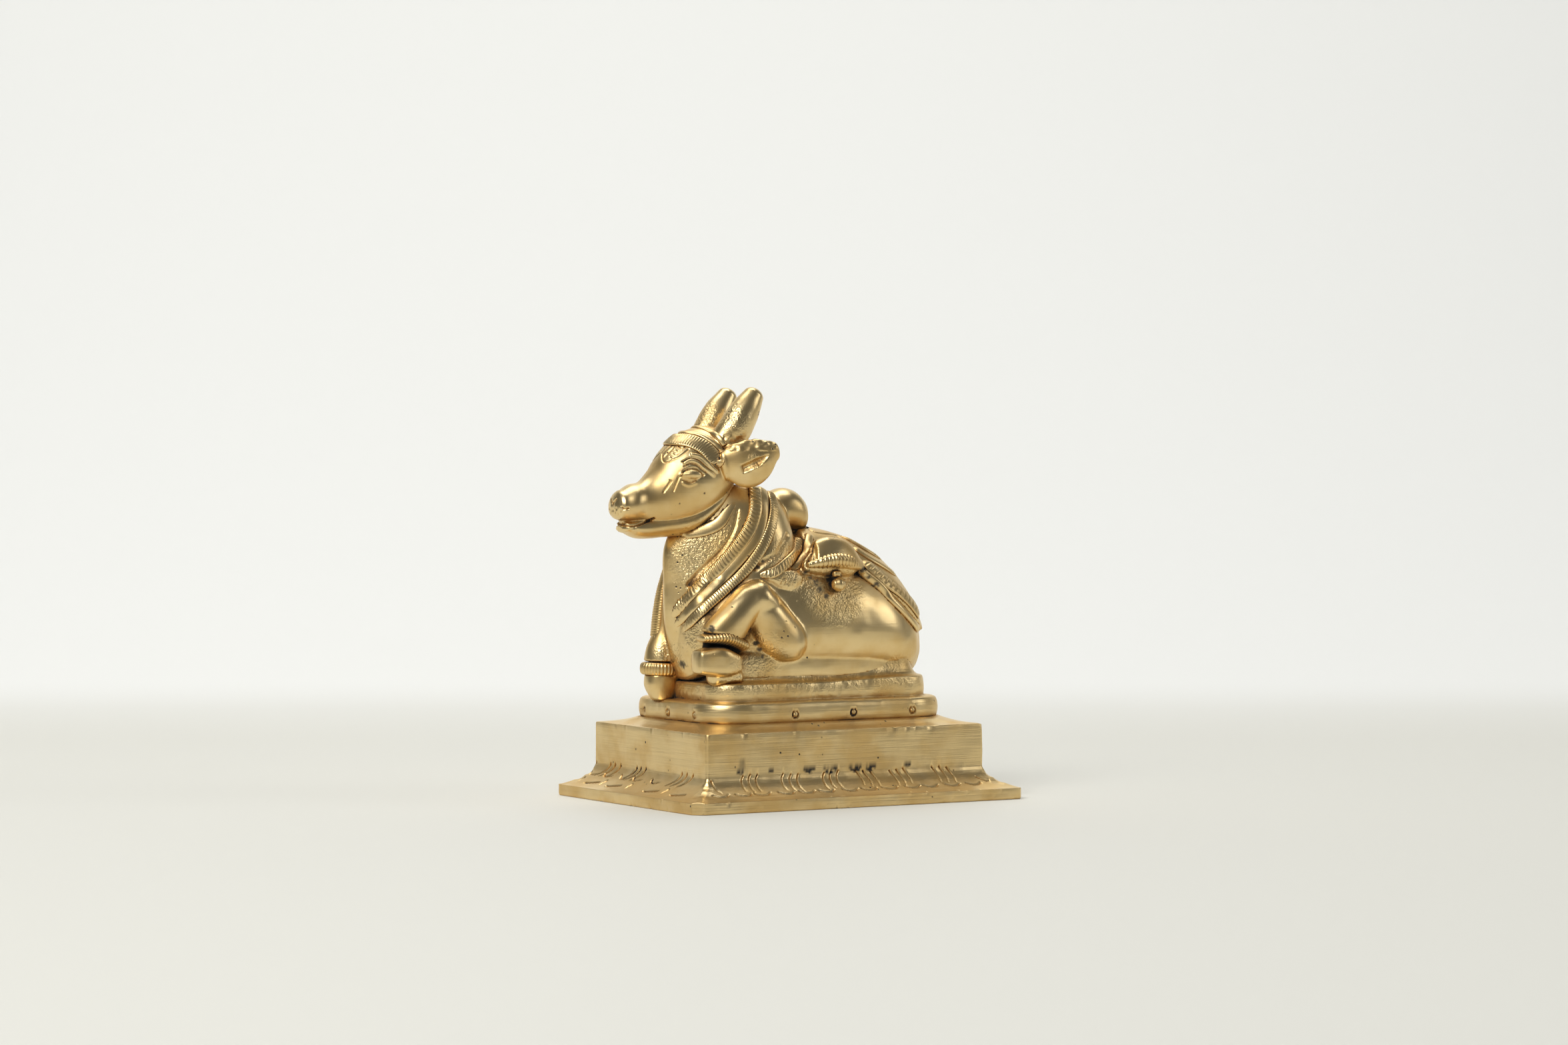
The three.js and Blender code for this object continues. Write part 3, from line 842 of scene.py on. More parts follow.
    def ring_punches(self) -> list[tuple[Stroke, Array]]:
        """The rings punched round the side of the lower tier."""
        turn = np.linspace(0, 2 * math.pi, 15)
        hx, hy = self.lower_half
        made = []
        places = [(x, -hy, 0) for x in (-19.0, -7.9, 3.4, 15.0)]
        places += [(x, hy, 0) for x in (-14.0, -2.6, 8.8, 18.0)]
        places += [(-hx, y, 1) for y in (-8.5, 0.4, 8.6)]
        places += [(hx, y, 1) for y in (-8.5, 0.5, 9.0)]
        for x, y, upright in places:
            wide = 0.55 * np.cos(turn)
            high = self.ledge_top + 1.25 + 0.6 * np.sin(turn)
            path = np.column_stack([x + wide * (1 - upright), y + wide * upright, high])
            made.append((Stroke([], 0.42, 0.26), path))
            centre = path.mean(0)
            made.append((Stroke([], 0.85, -0.2), np.array([centre, centre + 0.02])))
        return made

    def build(self) -> list[Piece]:
        """Builds the plinth and the seat, files them unevenly and chases their ornament."""
        low = np.stack([self.ring(level, (330, 236)) for level in self.plinth_levels()])
        high = np.stack([self.ring(level, (300, 200)) for level in self.seat_levels()])
        cuts = self.corner_dents()
        for face in range(4):
            cuts += self.end_petals(face) if face % 2 else self.long_petals(face)
        plinth = self.file_and_chase(shell("nandi_plinth", low, fill_ends=True), cuts)
        seat = shell("nandi_seat", high, fill_ends=True)
        self.raise_cove(seat)
        return [plinth, self.file_and_chase(seat, self.ring_punches())]

    def raise_cove(self, seat: Piece) -> None:
        """Lifts the cove and the tier's edge, which stand higher towards the rear."""
        points = coordinates(seat)
        above = np.maximum(0, points[:, 2] - self.seat_top)
        marks = [-24, -16, -11, -5.5, 3, 8.5, 13, 24]
        lift = np.interp(points[:, 0], marks, [0.5, 0.75, 0.8, 1.85, 1.95, 2.8, 3.1, 3.1])
        tilt = 0.5 * ramp(points[:, 0], -2, 16) * ramp(points[:, 2], self.lower_top, self.seat_top)
        points[:, 2] += above * (lift - 1) + tilt
        move_to(seat, points)

    def file_and_chase(self, piece: Piece, cuts: Sequence[tuple[Stroke, Array]]) -> Piece:
        """Cuts the ornament, then wears the faces and edges unevenly.

        Args:
            piece: the plinth or the seat.
            cuts: its strokes with their paths.

        Returns:
            The same piece, with its masks.
        """
        points, facing = coordinates(piece), normals(piece)
        chased = carve_all(points, facing, cuts, 1)
        high = points[:, 2].copy()
        waves = worn_away(points, (9, 0.2, 4), (2.4, 0.05, 7))
        waves += worn_away(points * [0.25, 0.25, 1], (0.8, 0.04, 5))
        on_seat = ramp(high, self.lower_top - 0.4, self.lower_top + 0.6)
        on_seat *= 1 - 0.8 * ramp(high, self.seat_top - 0.3, self.seat_top + 0.2)
        waves += worn_away(points, (3.6, 0.2, 61), (1.3, 0.09, 63)) * on_seat
        nicks = ramp(rough_noise(points, 1.1, 2), 0.25, 0.7) * ramp(-high, -0.75, 0)
        top_edge = ramp(-np.abs(high - self.block_top), -0.5, 0)
        slab_edge = ramp(-np.abs(high - self.slab_edge), -0.35, 0)
        sharp = top_edge * ramp(rough_noise(points, 1.6, 11), 0.3, 0.7)
        sharp += slab_edge * ramp(rough_noise(points, 1.0, 17), 0.35, 0.7)
        points -= facing * [1, 1, 0.3] * (waves + 0.3 * nicks + 0.22 * sharp)[:, None]
        points[:, 2] = np.maximum(points[:, 2], 0)
        self.chamfer(points)
        move_to(piece, points)
        set_mask(piece, "chased", chased)
        set_mask(piece, "rough", self.rough_zones(points))
        set_mask(piece, "ink", self.ink(points))
        return piece

    def rough_zones(self, points: Array) -> Array:
        """The seat's upper side and the cove keep their casting skin."""
        cast = ramp(points[:, 2], self.lower_top + 0.4, self.lower_top + 2.0)
        return 0.75 * cast * ramp(rough_noise(points, 3, 31), -0.6, 0.1)

    def ink(self, points: Array) -> Array:
        """Old black grime caught under the block, in half round patches.

        Args:
            points: the piece's vertices.

        Returns:
            How dark each point is, from 0 to 1.
        """
        patches = [
            (-20.5, 0.9), (-14.8, 0.7), (-7.4, 1.3), (-3.4, 1.5), (1.4, 1.4), (4.4, 1.3),
            (11.6, 0.9),
        ]
        top = self.block_foot + 0.8
        dark = np.zeros(len(points))
        along, across, high = points.T
        near = (across < -self.block_half[1] + 0.6) & (high < 9)
        for x, radius in patches:
            away = np.hypot((along - x) / radius, (top - high) / (0.95 * radius))
            dark = np.maximum(dark, ramp(-away, -1.1, -0.8) * ramp(-high, -top - 0.1, -top))
        patchy = ramp(rough_noise(points, 0.5, 41), -0.45, 0.15)
        streak = ramp(rough_noise(points * [0.4, 1, 4], 1, 43), -0.1, 0.3)
        streak *= ramp(-np.abs(along + 20.3), -0.8, -0.3) * ramp(-np.abs(high - 8), -2, -1)
        return near * np.maximum(dark * patchy, 0.55 * streak)

    def chamfer(self, points: Array) -> None:
        """Files a flat on each corner of the slab, the near one more than the others."""
        corner = self.block_half + self.flare_reach
        low = ramp(-points[:, 2], -self.slab_edge - 0.9, -self.slab_edge - 0.2)
        for sx, sy, cut in ((-1, -1, 1.35), (1, -1, 0.35), (-1, 1, 0.35), (1, 1, 0.5)):
            toward = np.array([sx, sy]) / math.sqrt(2)
            limit = corner @ np.abs(toward) - cut
            over = np.maximum(0, points[:, :2] @ toward - limit) * low
            points[:, :2] -= over[:, None] * toward


# ---- the bull


@dataclass
class Bull:
    """The reclining bull, on a grid of millimetres with z = 0 on top of the seat."""

    base: float
    body_voxel: float = 0.22
    head_voxel: float = 0.15
    cloth_outline: Sequence[Point] = (
        (3.4, 32), (3.2, 25.6), (-0.4, 24.6), (-0.9, 22), (-1.6, 19.2), (7.4, 18.2), (10.2, 16.2),
        (13.4, 13.7), (16.2, 11.4), (18.6, 9.2), (20.2, 7.6), (27, 7.2), (27, 32),
    )

    def body_forms(self) -> list[Form]:
        """Trunk, neck, hump, legs, hooves and tail."""
        trunk = Form([
            (-20, 18, -20, 0, 8, 0, 0.1), (-14, 22.5, -14, -0.6, 10.4, 0, 0.2),
            (-7, 24.6, -7, -0.6, 11.7, 0, 0.28), (1, 24.9, 1, -0.6, 12.2, 0, 0.3),
            (8, 23.7, 8, -0.6, 12.3, 0, 0.3), (14, 21.1, 14, -0.6, 12, 0, 0.28),
            (18.3, 17.3, 18.3, -0.6, 10.6, 0, 0.22), (20.6, 13.4, 20.6, -0.6, 8.6, 0, 0.15),
        ], (2.5, 1.3), 2.15)
        neck = Form([
            (-21.5, 2, -6, 4, 8.2, 0, 0.4), (-23.7, 9.5, -3, 13, 9.4, 0, 0.52),
            (-24, 16, -1, 21, 8.8, 0, 0.55), (-23.8, 22.5, -1.8, 27, 7.4, 0, 0.5),
            (-20.5, 28, -3.4, 30.2, 6.4, 0, 0.3), (-17, 32.4, -5.2, 31.4, 5.2, 0, 0.1),
        ], (2, 0.7))
        hump = Form([
            (-4.8, 30.4, -5, 25.8, 2.6), (-3.2, 31.6, -3.4, 24.9, 3.5), (-1.2, 32, -1.4, 24.4, 3.9),
            (0.7, 31.5, 0.9, 24.2, 3.8), (1.9, 30.5, 2, 24.4, 3.2),
        ], (0.8, 0.8))
        tail = Form([
            (21.6, 9, 19, 8, 1.3, 1), (23.4, 5.6, 20.4, 5.6, 1.3, 0.6), (24, 3, 20.6, 3, 1.6, 0.4),
            (23.8, 0.4, 20.6, 0.4, 1.6, 0.4),
        ], (0.6, 0.8))
        thigh = Form([
            (-18, 4.5, -18, -0.6, 1.5, -9), (-10, 6, -10, -0.6, 1.9, -9.3),
            (0, 6, 0, -0.6, 2.2, -9.3), (10, 6, 10, -0.6, 2.2, -9.2),
            (16.5, 6, 16.5, -0.6, 2, -8.2),
        ], (1, 2), 2.6)
        legs = [*thigh.both(), *self.left_foreleg(), *self.right_foreleg()]
        return [trunk, neck, hump, tail, *legs]

    def left_foreleg(self) -> list[Form]:
        """The folded left foreleg, knee up, with its hoof on the seat."""
        upper = Form([
            (-10.4, 15.9, -14.4, 12.8, 2.9, -10.1), (-7.2, 12.6, -14.1, 10, 3.2, -10.4),
            (-3.9, 9, -12.9, 6.9, 3.3, -10.6), (-3.2, 6.4, -11.2, 5.1, 3.1, -10.7),
            (-4.4, 4.2, -9.4, 3.9, 2.4, -10.6),
        ], (1.2, 0.5))
        fore = Form([
            (-11.6, 17, -10.6, 12.2, 2.8, -10.2), (-15.4, 15.9, -13, 10.6, 3, -10.5),
            (-19.6, 12.3, -14.4, 8.8, 2.7, -10.8), (-22.8, 9.2, -15.4, 7.2, 2.5, -10.8),
        ])
        knee = Form([
            (-14.6, 16.1, -13.6, 11.4, 2.9, -10.35), (-11.8, 16.9, -12.4, 10.6, 3.25, -10.4),
            (-9, 14.6, -11.4, 10.4, 3.1, -10.3),
        ], (0.6, 0.6))
        hoof = Form([
            (-23.4, 5.6, -23.4, 1.7, 1.9, -10), (-20, 6.2, -19.8, 1.2, 2.8, -10.4),
            (-16.7, 4.9, -16.5, 1.7, 2.3, -10.4),
        ], (0.6, 0.6), 4.0)
        under = Form([(x, 2.6, x, -0.4, 2.1, -9.9) for x in (-20.2, -16.2)])
        return [upper, fore, knee, hoof, under]

    def right_foreleg(self) -> list[Form]:
        """The right foreleg, put forward over the front edge of the seat."""
        upper = Form([
            (-18.6, 15.8, -17, 10.8, 2.8, 6), (-13.6, 14.6, -14.4, 8.6, 3.2, 9.2),
            (-7.6, 10.2, -11.4, 5.4, 3.3, 10.6), (-5.4, 6.4, -9.8, 4.6, 3.1, 10.8),
        ], (1, 1.2))
        fore = Form([
            (-21.5, 16.8, -17.6, 18.4, 2.1, 4.6), (-22.7, 12.5, -18.8, 12.7, 2.1, 4.6),
            (-23.2, 8.6, -19.8, 8.4, 2, 4.6), (-24.5, 5.5, -19.3, 5.3, 2.5, 4.6),
            (-25, 3.3, -18.7, 3.2, 2.9, 4.6),
        ], (1.4, 0.3))
        hoof = Form([
            (-24.8, 0.9, -19, 0.9, 2.6, 4.4), (-24.9, -1, -19, -1, 2.5, 4.4),
            (-23.8, -3.2, -19, -3.2, 2, 4.2),
        ], (0.2, 0.2), 2.6)
        return [upper, fore, hoof]

    def head_forms(self) -> list[Form]:
        """Head, jaw, horns, ears and eyes."""
        head = Form([
            (-32.2, 31.9, -32.6, 26.9, 2.9, 0, 0.1), (-30.6, 32.8, -31, 26.5, 3.5, 0, 0.1),
            (-28.6, 33.3, -28.7, 26, 3.3, 0, 0), (-26.4, 35.4, -26.2, 25.2, 4, 0, 0),
            (-24.2, 38.4, -22.6, 25.2, 5.2, 0, 0.05), (-21.2, 41, -18.6, 26.2, 6.2, 0, 0.08),
            (-17, 42.4, -15, 28.8, 6.3, 0, 0.1), (-12.8, 42, -11.5, 33, 4.8, 0, 0.1),
        ], (1.4, 2))
        jaw = Form([
            (-31.9, 26.7, -31.5, 24.7, 2.3), (-29.8, 27.2, -29.5, 23.8, 2.8),
            (-26.3, 27.6, -25.8, 23.9, 3.3), (-21, 29, -20, 24.6, 4.6),
            (-16.6, 32, -15.9, 27.2, 5.1), (-13.8, 34.5, -13, 30.2, 4.4),
        ], (0.9, 1))
        horn = Form([
            (-17.6, 39.8, -13.2, 36.8, 2.4, -3.4), (-15.4, 43.2, -10.7, 39.9, 2.8, -3.9),
            (-13.1, 46.3, -9, 43.4, 2.5, -4.2), (-10.9, 48.4, -8, 46.3, 1.8, -4.3),
        ], (0.6, 1.3))
        ear = Form([
            (-16.7, 38.2, -15.6, 33.4, 1.1, -6.6), (-14.6, 39.6, -13.4, 32.2, 1.5, -7.5),
            (-12.4, 40.1, -11.2, 32.4, 1.6, -8.2), (-10.4, 40.2, -9.2, 34, 1.4, -8.8),
            (-8.7, 39.8, -7.8, 36.6, 1, -9.2),
        ], (0.9, 0.8))
        ear_root = Form(
            [(-15.6, 39.4, -14.6, 33.4, 2.2, -5), (-12.4, 40, -11.8, 35.4, 1.8, -6.6)], (0.6, 0.6)
        )
        eye = Form([
            (-23.2, 34.7, -23.2, 34, 0.5, -4.8), (-21.9, 35.3, -21.9, 33.5, 0.8, -5.2),
            (-20.6, 34.8, -20.6, 34, 0.5, -5.6),
        ], (0.5, 0.5))
        return [head, jaw, *horn.both(), *ear.both(), *ear_root.both(), *eye.both()]

    def trimming_forms(self) -> list[Form]:
        """The padded flap of the cloth, its pendant and the leaf under the garland."""
        flap = Form([
            (-2.5, 20.4, -2.7, 18.2, 1, -9.9, 0.5), (0, 22.8, 0.1, 17.4, 1.8, -9.6, 0.5),
            (2.7, 23.1, 2.8, 17.2, 2, -9.6, 0.5), (5.6, 22.2, 5.7, 17.2, 1.8, -9.5, 0.5),
            (7.5, 19.8, 7.5, 18, 1, -9.6, 0.5),
        ], (0.5, 0.5))
        leaf = Form([
            (-10.2, 17.4, -9.6, 16.6, 0.5, -9.9), (-7.4, 18.4, -7.8, 15.3, 0.8, -10.1),
            (-5.2, 18.5, -6, 14.7, 0.9, -10.3), (-3.8, 17.7, -4.4, 16, 0.5, -10.5),
        ], (0.4, 0.4))
        return [*flap.both(), *leaf.both()]

    def melt(self, name: str, forms: Sequence[Form], voxel: float) -> Piece:
        """Melts forms into one skin with faces of a size.

        Args:
            name: the skin's name.
            forms: what is melted.
            voxel: the size of its faces.

        Returns:
            The skin, smoothed.
        """
        shells = [form.build("form", self.base, 0.42) for form in forms]
        piece = join(name, shells)
        finish_with(piece, "REMESH", mode="VOXEL", voxel_size=voxel * MM)
        finish_with(piece, "SMOOTH", factor=0.5, iterations=4)
        return piece

    def build_body(self) -> Piece:
        """Builds the body, blends its knee and flank, and lays the cloth."""
        forms = [*self.body_forms(), *self.trimming_forms()]
        piece = self.melt("nandi_body", forms, self.body_voxel)
        knees = [((-12, -11, 12), 5), ((-6, -9.5, 3), 4), ((-12, 11, 12), 5)]
        self.soften_zones(piece, [*knees, ((-1.5, 0, 28), 6.4), ((-5, -12, 6.5), 4.4)])
        self.lay_cloth(piece)
        self.carve(piece, self.body_strokes())
        return piece

    def build_head(self) -> Piece:
        """Builds the head on a finer skin and carves the face."""
        piece = self.melt("nandi_head", self.head_forms(), self.head_voxel)
        self.hollow_ears(piece)
        self.carve(piece, self.face_strokes())
        return piece

    def soften_zones(
        self, piece: Piece, zones: Sequence[tuple[Place, float]]
    ) -> None:
        """Smooths away the creases where forms run into one another.

        Args:
            piece: the skin.
            zones: the middle and the radius of each zone.
        """
        points = coordinates(piece)
        group = piece.vertex_groups.new(name="soft")
        for (x, y, z), radius in zones:
            away = np.linalg.norm(points - [x, y, z + self.base], axis=1)
            inside = np.nonzero(away < radius)[0].tolist()
            group.add(inside, 1.0, "ADD")
        finish_with(piece, "SMOOTH", factor=0.5, iterations=14, vertex_group="soft")

    def hollow_ears(self, piece: Piece) -> None:
        """Sinks the slot in the outer side of each ear, with a torn upper rim."""
        points, facing = coordinates(piece), normals(piece)
        flat = points[:, [0, 2]] - [0, self.base]
        slot = np.array([(-14.3, 35.8), (-12.1, 36.9), (-10.0, 37.5), (-11.2, 36), (-13.9, 34.7)])
        inside, edge = outline_distance(flat, slot)
        outer = (np.abs(points[:, 1]) > 6) & (facing[:, 1] * np.sign(points[:, 1]) > 0.1)
        sink = 0.75 * ramp(np.where(inside, edge, -edge), -0.3, 0.5) * outer
        points[:, 1] -= sink * np.sign(points[:, 1])
        x, y, z = points.T
        rim = (np.abs(z - 39.6 - self.base) < 1.3) & (x > -17) & (x < -7.5) & (np.abs(y) > 5.6)
        points += facing * (0.22 * rough_noise(points, 1.0, 21) * rim)[:, None]
        move_to(piece, points)

    def lay_cloth(self, piece: Piece) -> None:
        """Raises the saddle cloth over the back."""
        points, facing = coordinates(piece), normals(piece)
        flat = points[:, [0, 2]] - [0, self.base]
        inside, edge = outline_distance(flat, np.array(self.cloth_outline, float))
        lift = 0.75 * ramp(np.where(inside, edge, -edge), -0.05, 0.4)
        reach = np.abs(points[:, 1]) < 11.9
        points += facing * (lift * reach)[:, None]
        move_to(piece, points)

    def carve(self, piece: Piece, strokes: Sequence[Stroke]) -> None:
        """Cuts strokes into a piece on both sides, and roughens the casting.

        Args:
            piece: the body or the head, which gets its masks.
            strokes: the cuts and ridges, as seen from the left.
        """
        ground = Ground(self.base, tree_of([piece]))
        points, facing = coordinates(piece), normals(piece)
        cuts = [
            (stroke, ground.landings(stroke.line, side, 0.2, stroke.plane)[0])
            for stroke in strokes
            for side in Side
        ]
        chased = carve_all(points, facing, cuts)
        rough = self.rough_zones(points)
        grain = 0.035 * rough_noise(points, 0.42, 3) * rough
        hammered = 0.1 * rough_noise(points, 5, 9) + 0.035 * rough_noise(points, 1.9, 13)
        points -= facing * (grain + hammered)[:, None]
        move_to(piece, points)
        set_mask(piece, "rough", rough)
        set_mask(piece, "chased", chased)
        set_mask(piece, "ink", self.old_grime(points))

    def face_strokes(self) -> list[Stroke]:
        """Every cut and ridge of the face."""
        brow_groove = [(-24, 36.5), (-22.6, 37), (-21, 36.8), (-19.8, 35.9), (-18.6, 34.9)]
        upper_ridge = [(-22.2, 37.7), (-20.6, 37.4), (-19.3, 36.5), (-18.1, 35.4), (-17.4, 34.9)]
        lower_ridge = [(-23.6, 36.2), (-22.4, 36.7), (-21, 36.3), (-19.9, 35.5), (-18, 34.3)]
        fold = [(-23.6, 35.8), (-22.4, 36.2), (-21.2, 35.9), (-20.3, 35.2), (-19.3, 34.6)]
        upper_lid = [(-24.3, 34.1), (-23.6, 35), (-22.4, 35.4), (-21.2, 35.3), (-20, 34.3)]
        lower_lid = [(-23.8, 33.5), (-22.6, 33.1), (-21.5, 33.4), (-20.5, 33.9), (-19.9, 34.3)]
        eyeball = [(-23.3, 34.1), (-22.2, 34.3), (-21, 34.3)]
        pad = [(-23.8, 33.0), (-23.1, 32.7), (-22.4, 32.7), (-21.5, 33)]
        leaf = [
            (-20.2, 38.5), (-21.5, 37.6), (-23.1, 36.8), (-24.5, 36.4), (-25.2, 36.7),
            (-25.3, 37.8), (-24.9, 38.2), (-23.8, 39), (-22.4, 39.4),
        ]
        scallops = [
            [(x - 0.6, z + 0.25), (x, z - 0.1), (x + 0.6, z + 0.15)]
            for x, z in ((-21.5, 38.8), (-22.2, 38.2), (-22.7, 37.6), (-23.2, 37))
        ]
        tops = ((-23.1, 38.9), (-23.5, 38.6), (-23.9, 38.3))
        veins = [[(x, z), (x - 0.9, z - 1)] for x, z in tops]
        mouth = [(-34.8, 26.4), (-33.5, 26.1), (-31.4, 26), (-29.8, 26.4), (-27.7, 27.1)]
        lip = [(-33.7, 25.8), (-32.1, 25.5), (-31.2, 25.6)]
        pricks = [
            [(x, z), (x + 0.1, z - 0.3)]
            for x, z in ((-34.9, 28.7), (-34.5, 28.4), (-34.2, 28.9), (-34, 28.1), (-33.4, 28.6))
        ]
        return [
            Stroke(mouth, 0.55, 0.36, plane=3),
            Stroke(lip, 0.5, 0.14, plane=3),
            Stroke(upper_ridge, 0.75, -0.24),
            Stroke(lower_ridge, 0.7, -0.26),
            Stroke(brow_groove, 0.42, 0.2),
            Stroke(fold, 0.4, 0.15),
            Stroke(eyeball, 1.7, -0.22),
            Stroke(upper_lid, 0.45, 0.18),
            Stroke(lower_lid, 0.45, 0.15),
            Stroke(pad, 0.7, -0.14),
            Stroke([(-25.9, 33.3), (-27.3, 31.5)], 0.36, 0.15, plane=5.5),
            Stroke([(-24.4, 33.9), (-25.4, 31.7)], 0.36, 0.15, plane=5.5),
            Stroke(leaf, 0.34, 0.16, plane=1.5),
            *[Stroke(line, 0.3, 0.14, plane=1.5) for line in scallops + veins],
            Stroke([(-35.1, 29.4), (-34.3, 30.3)], 0.45, 0.3, plane=2),
            Stroke([(-33.1, 29), (-32.7, 28.7), (-31.8, 28.8)], 0.45, 0.26, plane=2),
            *[Stroke(line, 0.3, 0.14, plane=2) for line in pricks],
        ]

    def body_strokes(self) -> list[Stroke]:
        """The cuts of the neck, the garland's leaf and the cloth."""
        neck = [(-23.4, 16.2), (-21.3, 18.3), (-17, 22.0), (-14.7, 25.4), (-13.9, 28.6)]
        seam = [(-0.7, 24.9), (0.8, 24.4), (4.2, 24), (5.3, 23.5), (7.3, 21.8), (8.6, 20.2)]
        front_edge = [(-0.5, 24.5), (-0.9, 21.7), (-1.9, 19)]
        hollow = [(-5.9, 24.2), (-7.7, 21.4), (-10, 20.1), (-12.1, 18.8)]
        veins = [
            [(-7.4 + 0.7 * k, 17.4 + 0.1 * k), (-8.1 + 0.75 * k, 16.2 - 0.1 * k)] for k in range(4)
        ]
        return [
            Stroke(neck, 1.3, 0.32, True, 7),
            Stroke(seam, 0.5, 0.16, plane=8),
            Stroke(front_edge, 0.7, 0.45, plane=9),
            Stroke(hollow, 1.3, 0.28, plane=9.5),
            *[Stroke(line, 0.42, 0.16, plane=11) for line in veins],
        ]

    def rough_zones(self, points: Array) -> Array:
        """How rough the bare casting is left, where no file reached.

        Args:
            points: the piece's vertices.

        Returns:
            How rough each point is, from 0 to 1.
        """
        zones = [
            ((-19.5, -6, 20.5), 7), ((-22, 5, 22), 5), ((-12.5, -12.5, 4), 5), ((-15, -9, 2), 6),
            ((1.6, -11, 15), 6.5), ((2.6, 11, 15), 6), ((-5.5, -10, 19.5), 5), ((16, -9, 1), 5),
            ((-13, -4, 43), 3.4), ((-13, 4.4, 43), 3.6), ((-12, -9.6, 36.5), 1.6),
            ((-22, -6, 8), 3.5), ((-21, 1, 4), 4),
        ]
        rough = np.zeros(len(points))
        for (x, y, z), radius in zones:
            away = np.linalg.norm(points - [x, y, z + self.base], axis=1)
            rough = np.maximum(rough, 1 - ramp(away, 0.6 * radius, 1.15 * radius))
        for y in (-11.6, 11.6):
            ball = np.linalg.norm(points - [2.5, y, 16 + self.base], axis=1)
            rough *= ramp(ball, 1.1, 1.5)
        return rough

    def old_grime(self, points: Array) -> Array:
        """Black grime that polish never reached, in patches.

        Args:
            points: the piece's vertices.

        Returns:
            How dark each point is, from 0 to 1.
        """
        spots = [
            (-21.4, -2, 4.5, 0.9), (-21.8, -2, 2.9, 1.1), (-25.9, -7, 9.9, 1.1),
            (-25.5, -8, 10.9, 1.1), (-24.5, -8.5, 12.2, 1.0), (-23.5, -9, 13.3, 0.8),
            (-1.9, -11.3, 17.3, 1.2), (-1.1, -11.4, 16.5, 1.4), (-0.6, -11.6, 15.3, 1.2),
            (0.3, -11.8, 14.1, 0.8), (7.9, -11, 18.3, 0.9), (9.3, -11, 17.0, 0.9),
            (10.7, -11, 15.8, 0.8), (-12.8, -11, 6.6, 0.7), (-12.2, -11, 5.5, 0.7),
            (-11.5, -11, 4.3, 0.6), (-11.7, -12.5, 0.9, 0.9), (-9.2, -12.5, 1.0, 0.9),
            (-11.3, -9, 19.0, 0.6), (-10.4, -9, 19.9, 0.6), (-1.1, -9, 20.4, 0.9),
            (-2.5, -10, 18.3, 0.8), (-21.1, -9, 14.4, 0.6), (-21.9, -12, 9.1, 0.9),
            (-24.8, -11, 6.3, 0.9), (5.9, -8, 23.2, 0.6), (6.8, -8, 22.4, 0.6),
        ]
        dark = np.zeros(len(points))
        for x, y, z, radius in spots:
            away = np.linalg.norm((points - [x, y, z + self.base]) * [1, 0.6, 1], axis=1)
            dark = np.maximum(dark, 1.1 - away / radius)
        patchy = 0.35 * rough_noise(points, 0.6, 71) + 0.3 * rough_noise(points, 0.28, 73)
        return 0.9 * ramp(dark + patchy, 0.3, 0.75) * (dark > 0)

    def build_trimmings(self, ground: Ground) -> Piece:
        """Builds the collars, garlands, headband, cloth border and anklets.

        Args:
            ground: the surface of body and head.

        Returns:
            One piece that holds them all.
        """
        pieces = [piece for band in self.bands() for piece in band.build("band", ground)]
        pieces += [form.build("anklet", self.base, 0.13) for form in self.anklets()]
        pieces.append(self.ring_anklet())
        piece = join("nandi_trimmings", pieces)
        set_mask(piece, "ink", self.old_grime(coordinates(piece)))
        return piece

    def bands(self) -> list[Band]:
        """Collars, throat fold, headband, festoon, garland and the lines of the cloth's border."""
        rope = [
            (-27.4, 10.7), (-21.75, 16), (-18, 19.1), (-14.65, 22.3), (-12.15, 25.6), (-11.1, 28.7),
            (-11.5, 31.9),
        ]
        plain = [
            (-26.9, 9.1), (-22, 13.5), (-17.6, 17.2), (-14.2, 20.4), (-11.2, 23.7), (-10, 26.6),
            (-9.7, 29.6), (-9.9, 31.7),
        ]
        fine = [
            (-25.4, 8.4), (-21.3, 12), (-17.1, 15.2), (-13.2, 18.4), (-10.1, 22), (-8.3, 25.4),
            (-7.7, 28.6), (-8.4, 31.3),
        ]
        fold = [
            (-26, 24.2), (-21.8, 24.7), (-18.7, 25.3), (-16.4, 26.3), (-14.9, 28), (-13.3, 29.8),
        ]
        brow_band = [
            (-15.9, 35.5), (-16.6, 36.5), (-17.7, 37.5), (-19.1, 38.7), (-20.9, 39.5), (-22.9, 40),
            (-25.4, 40.1),
        ]
        cords = [
            [(-15.4, 38), (-16.4, 39), (-18, 40.1), (-19.7, 40.9), (-21.2, 41.2), (-23, 41.3)],
            [(-14.9, 39), (-15.7, 40), (-17.1, 41.1), (-18.8, 41.9), (-20.6, 42.2), (-22.4, 42.3)],
        ]
        festoon = [(-4.1, 23.8), (-4.6, 21.4), (-6.6, 19.5), (-8.9, 18.1), (-11.7, 17.6)]
        garland = [(-1.9, 24.5), (-2.4, 21.7), (-3.6, 19.8), (-5.9, 18.3), (-8.6, 17.4)]
        rim = [
            (7.4, 18.3), (8.7, 17.3), (11.2, 15.6), (13.4, 13.5), (15.7, 11.5), (17.6, 9.6),
            (19.0, 7.9),
        ]
        dashes = [
            (7.8, 20.9), (9.2, 19.7), (10.7, 18.5), (13.7, 16.2), (16.4, 14.4), (18.7, 12.4),
            (20.1, 10.5), (20.9, 8.7),
        ]
        inner = [(7, 22.6), (10.4, 20.5), (14.2, 18.5), (17.7, 16.2), (20, 14.2), (21.6, 12)]
        outer = [(6.2, 23.9), (8.5, 22.9), (12.8, 20.7), (16.6, 18.4), (19.5, 16.2), (21.5, 13.9)]
        collar = {"square": 3, "fade": (3.5, 3.5), "tuck": 8}
        brow_hatch = {"slant": 0.3, "square": 4, "spacing": 0.1}
        ticks = {"slant": 0.2, "lines": (-0.7, 0.7), "square": 3, "hatch_power": 4}
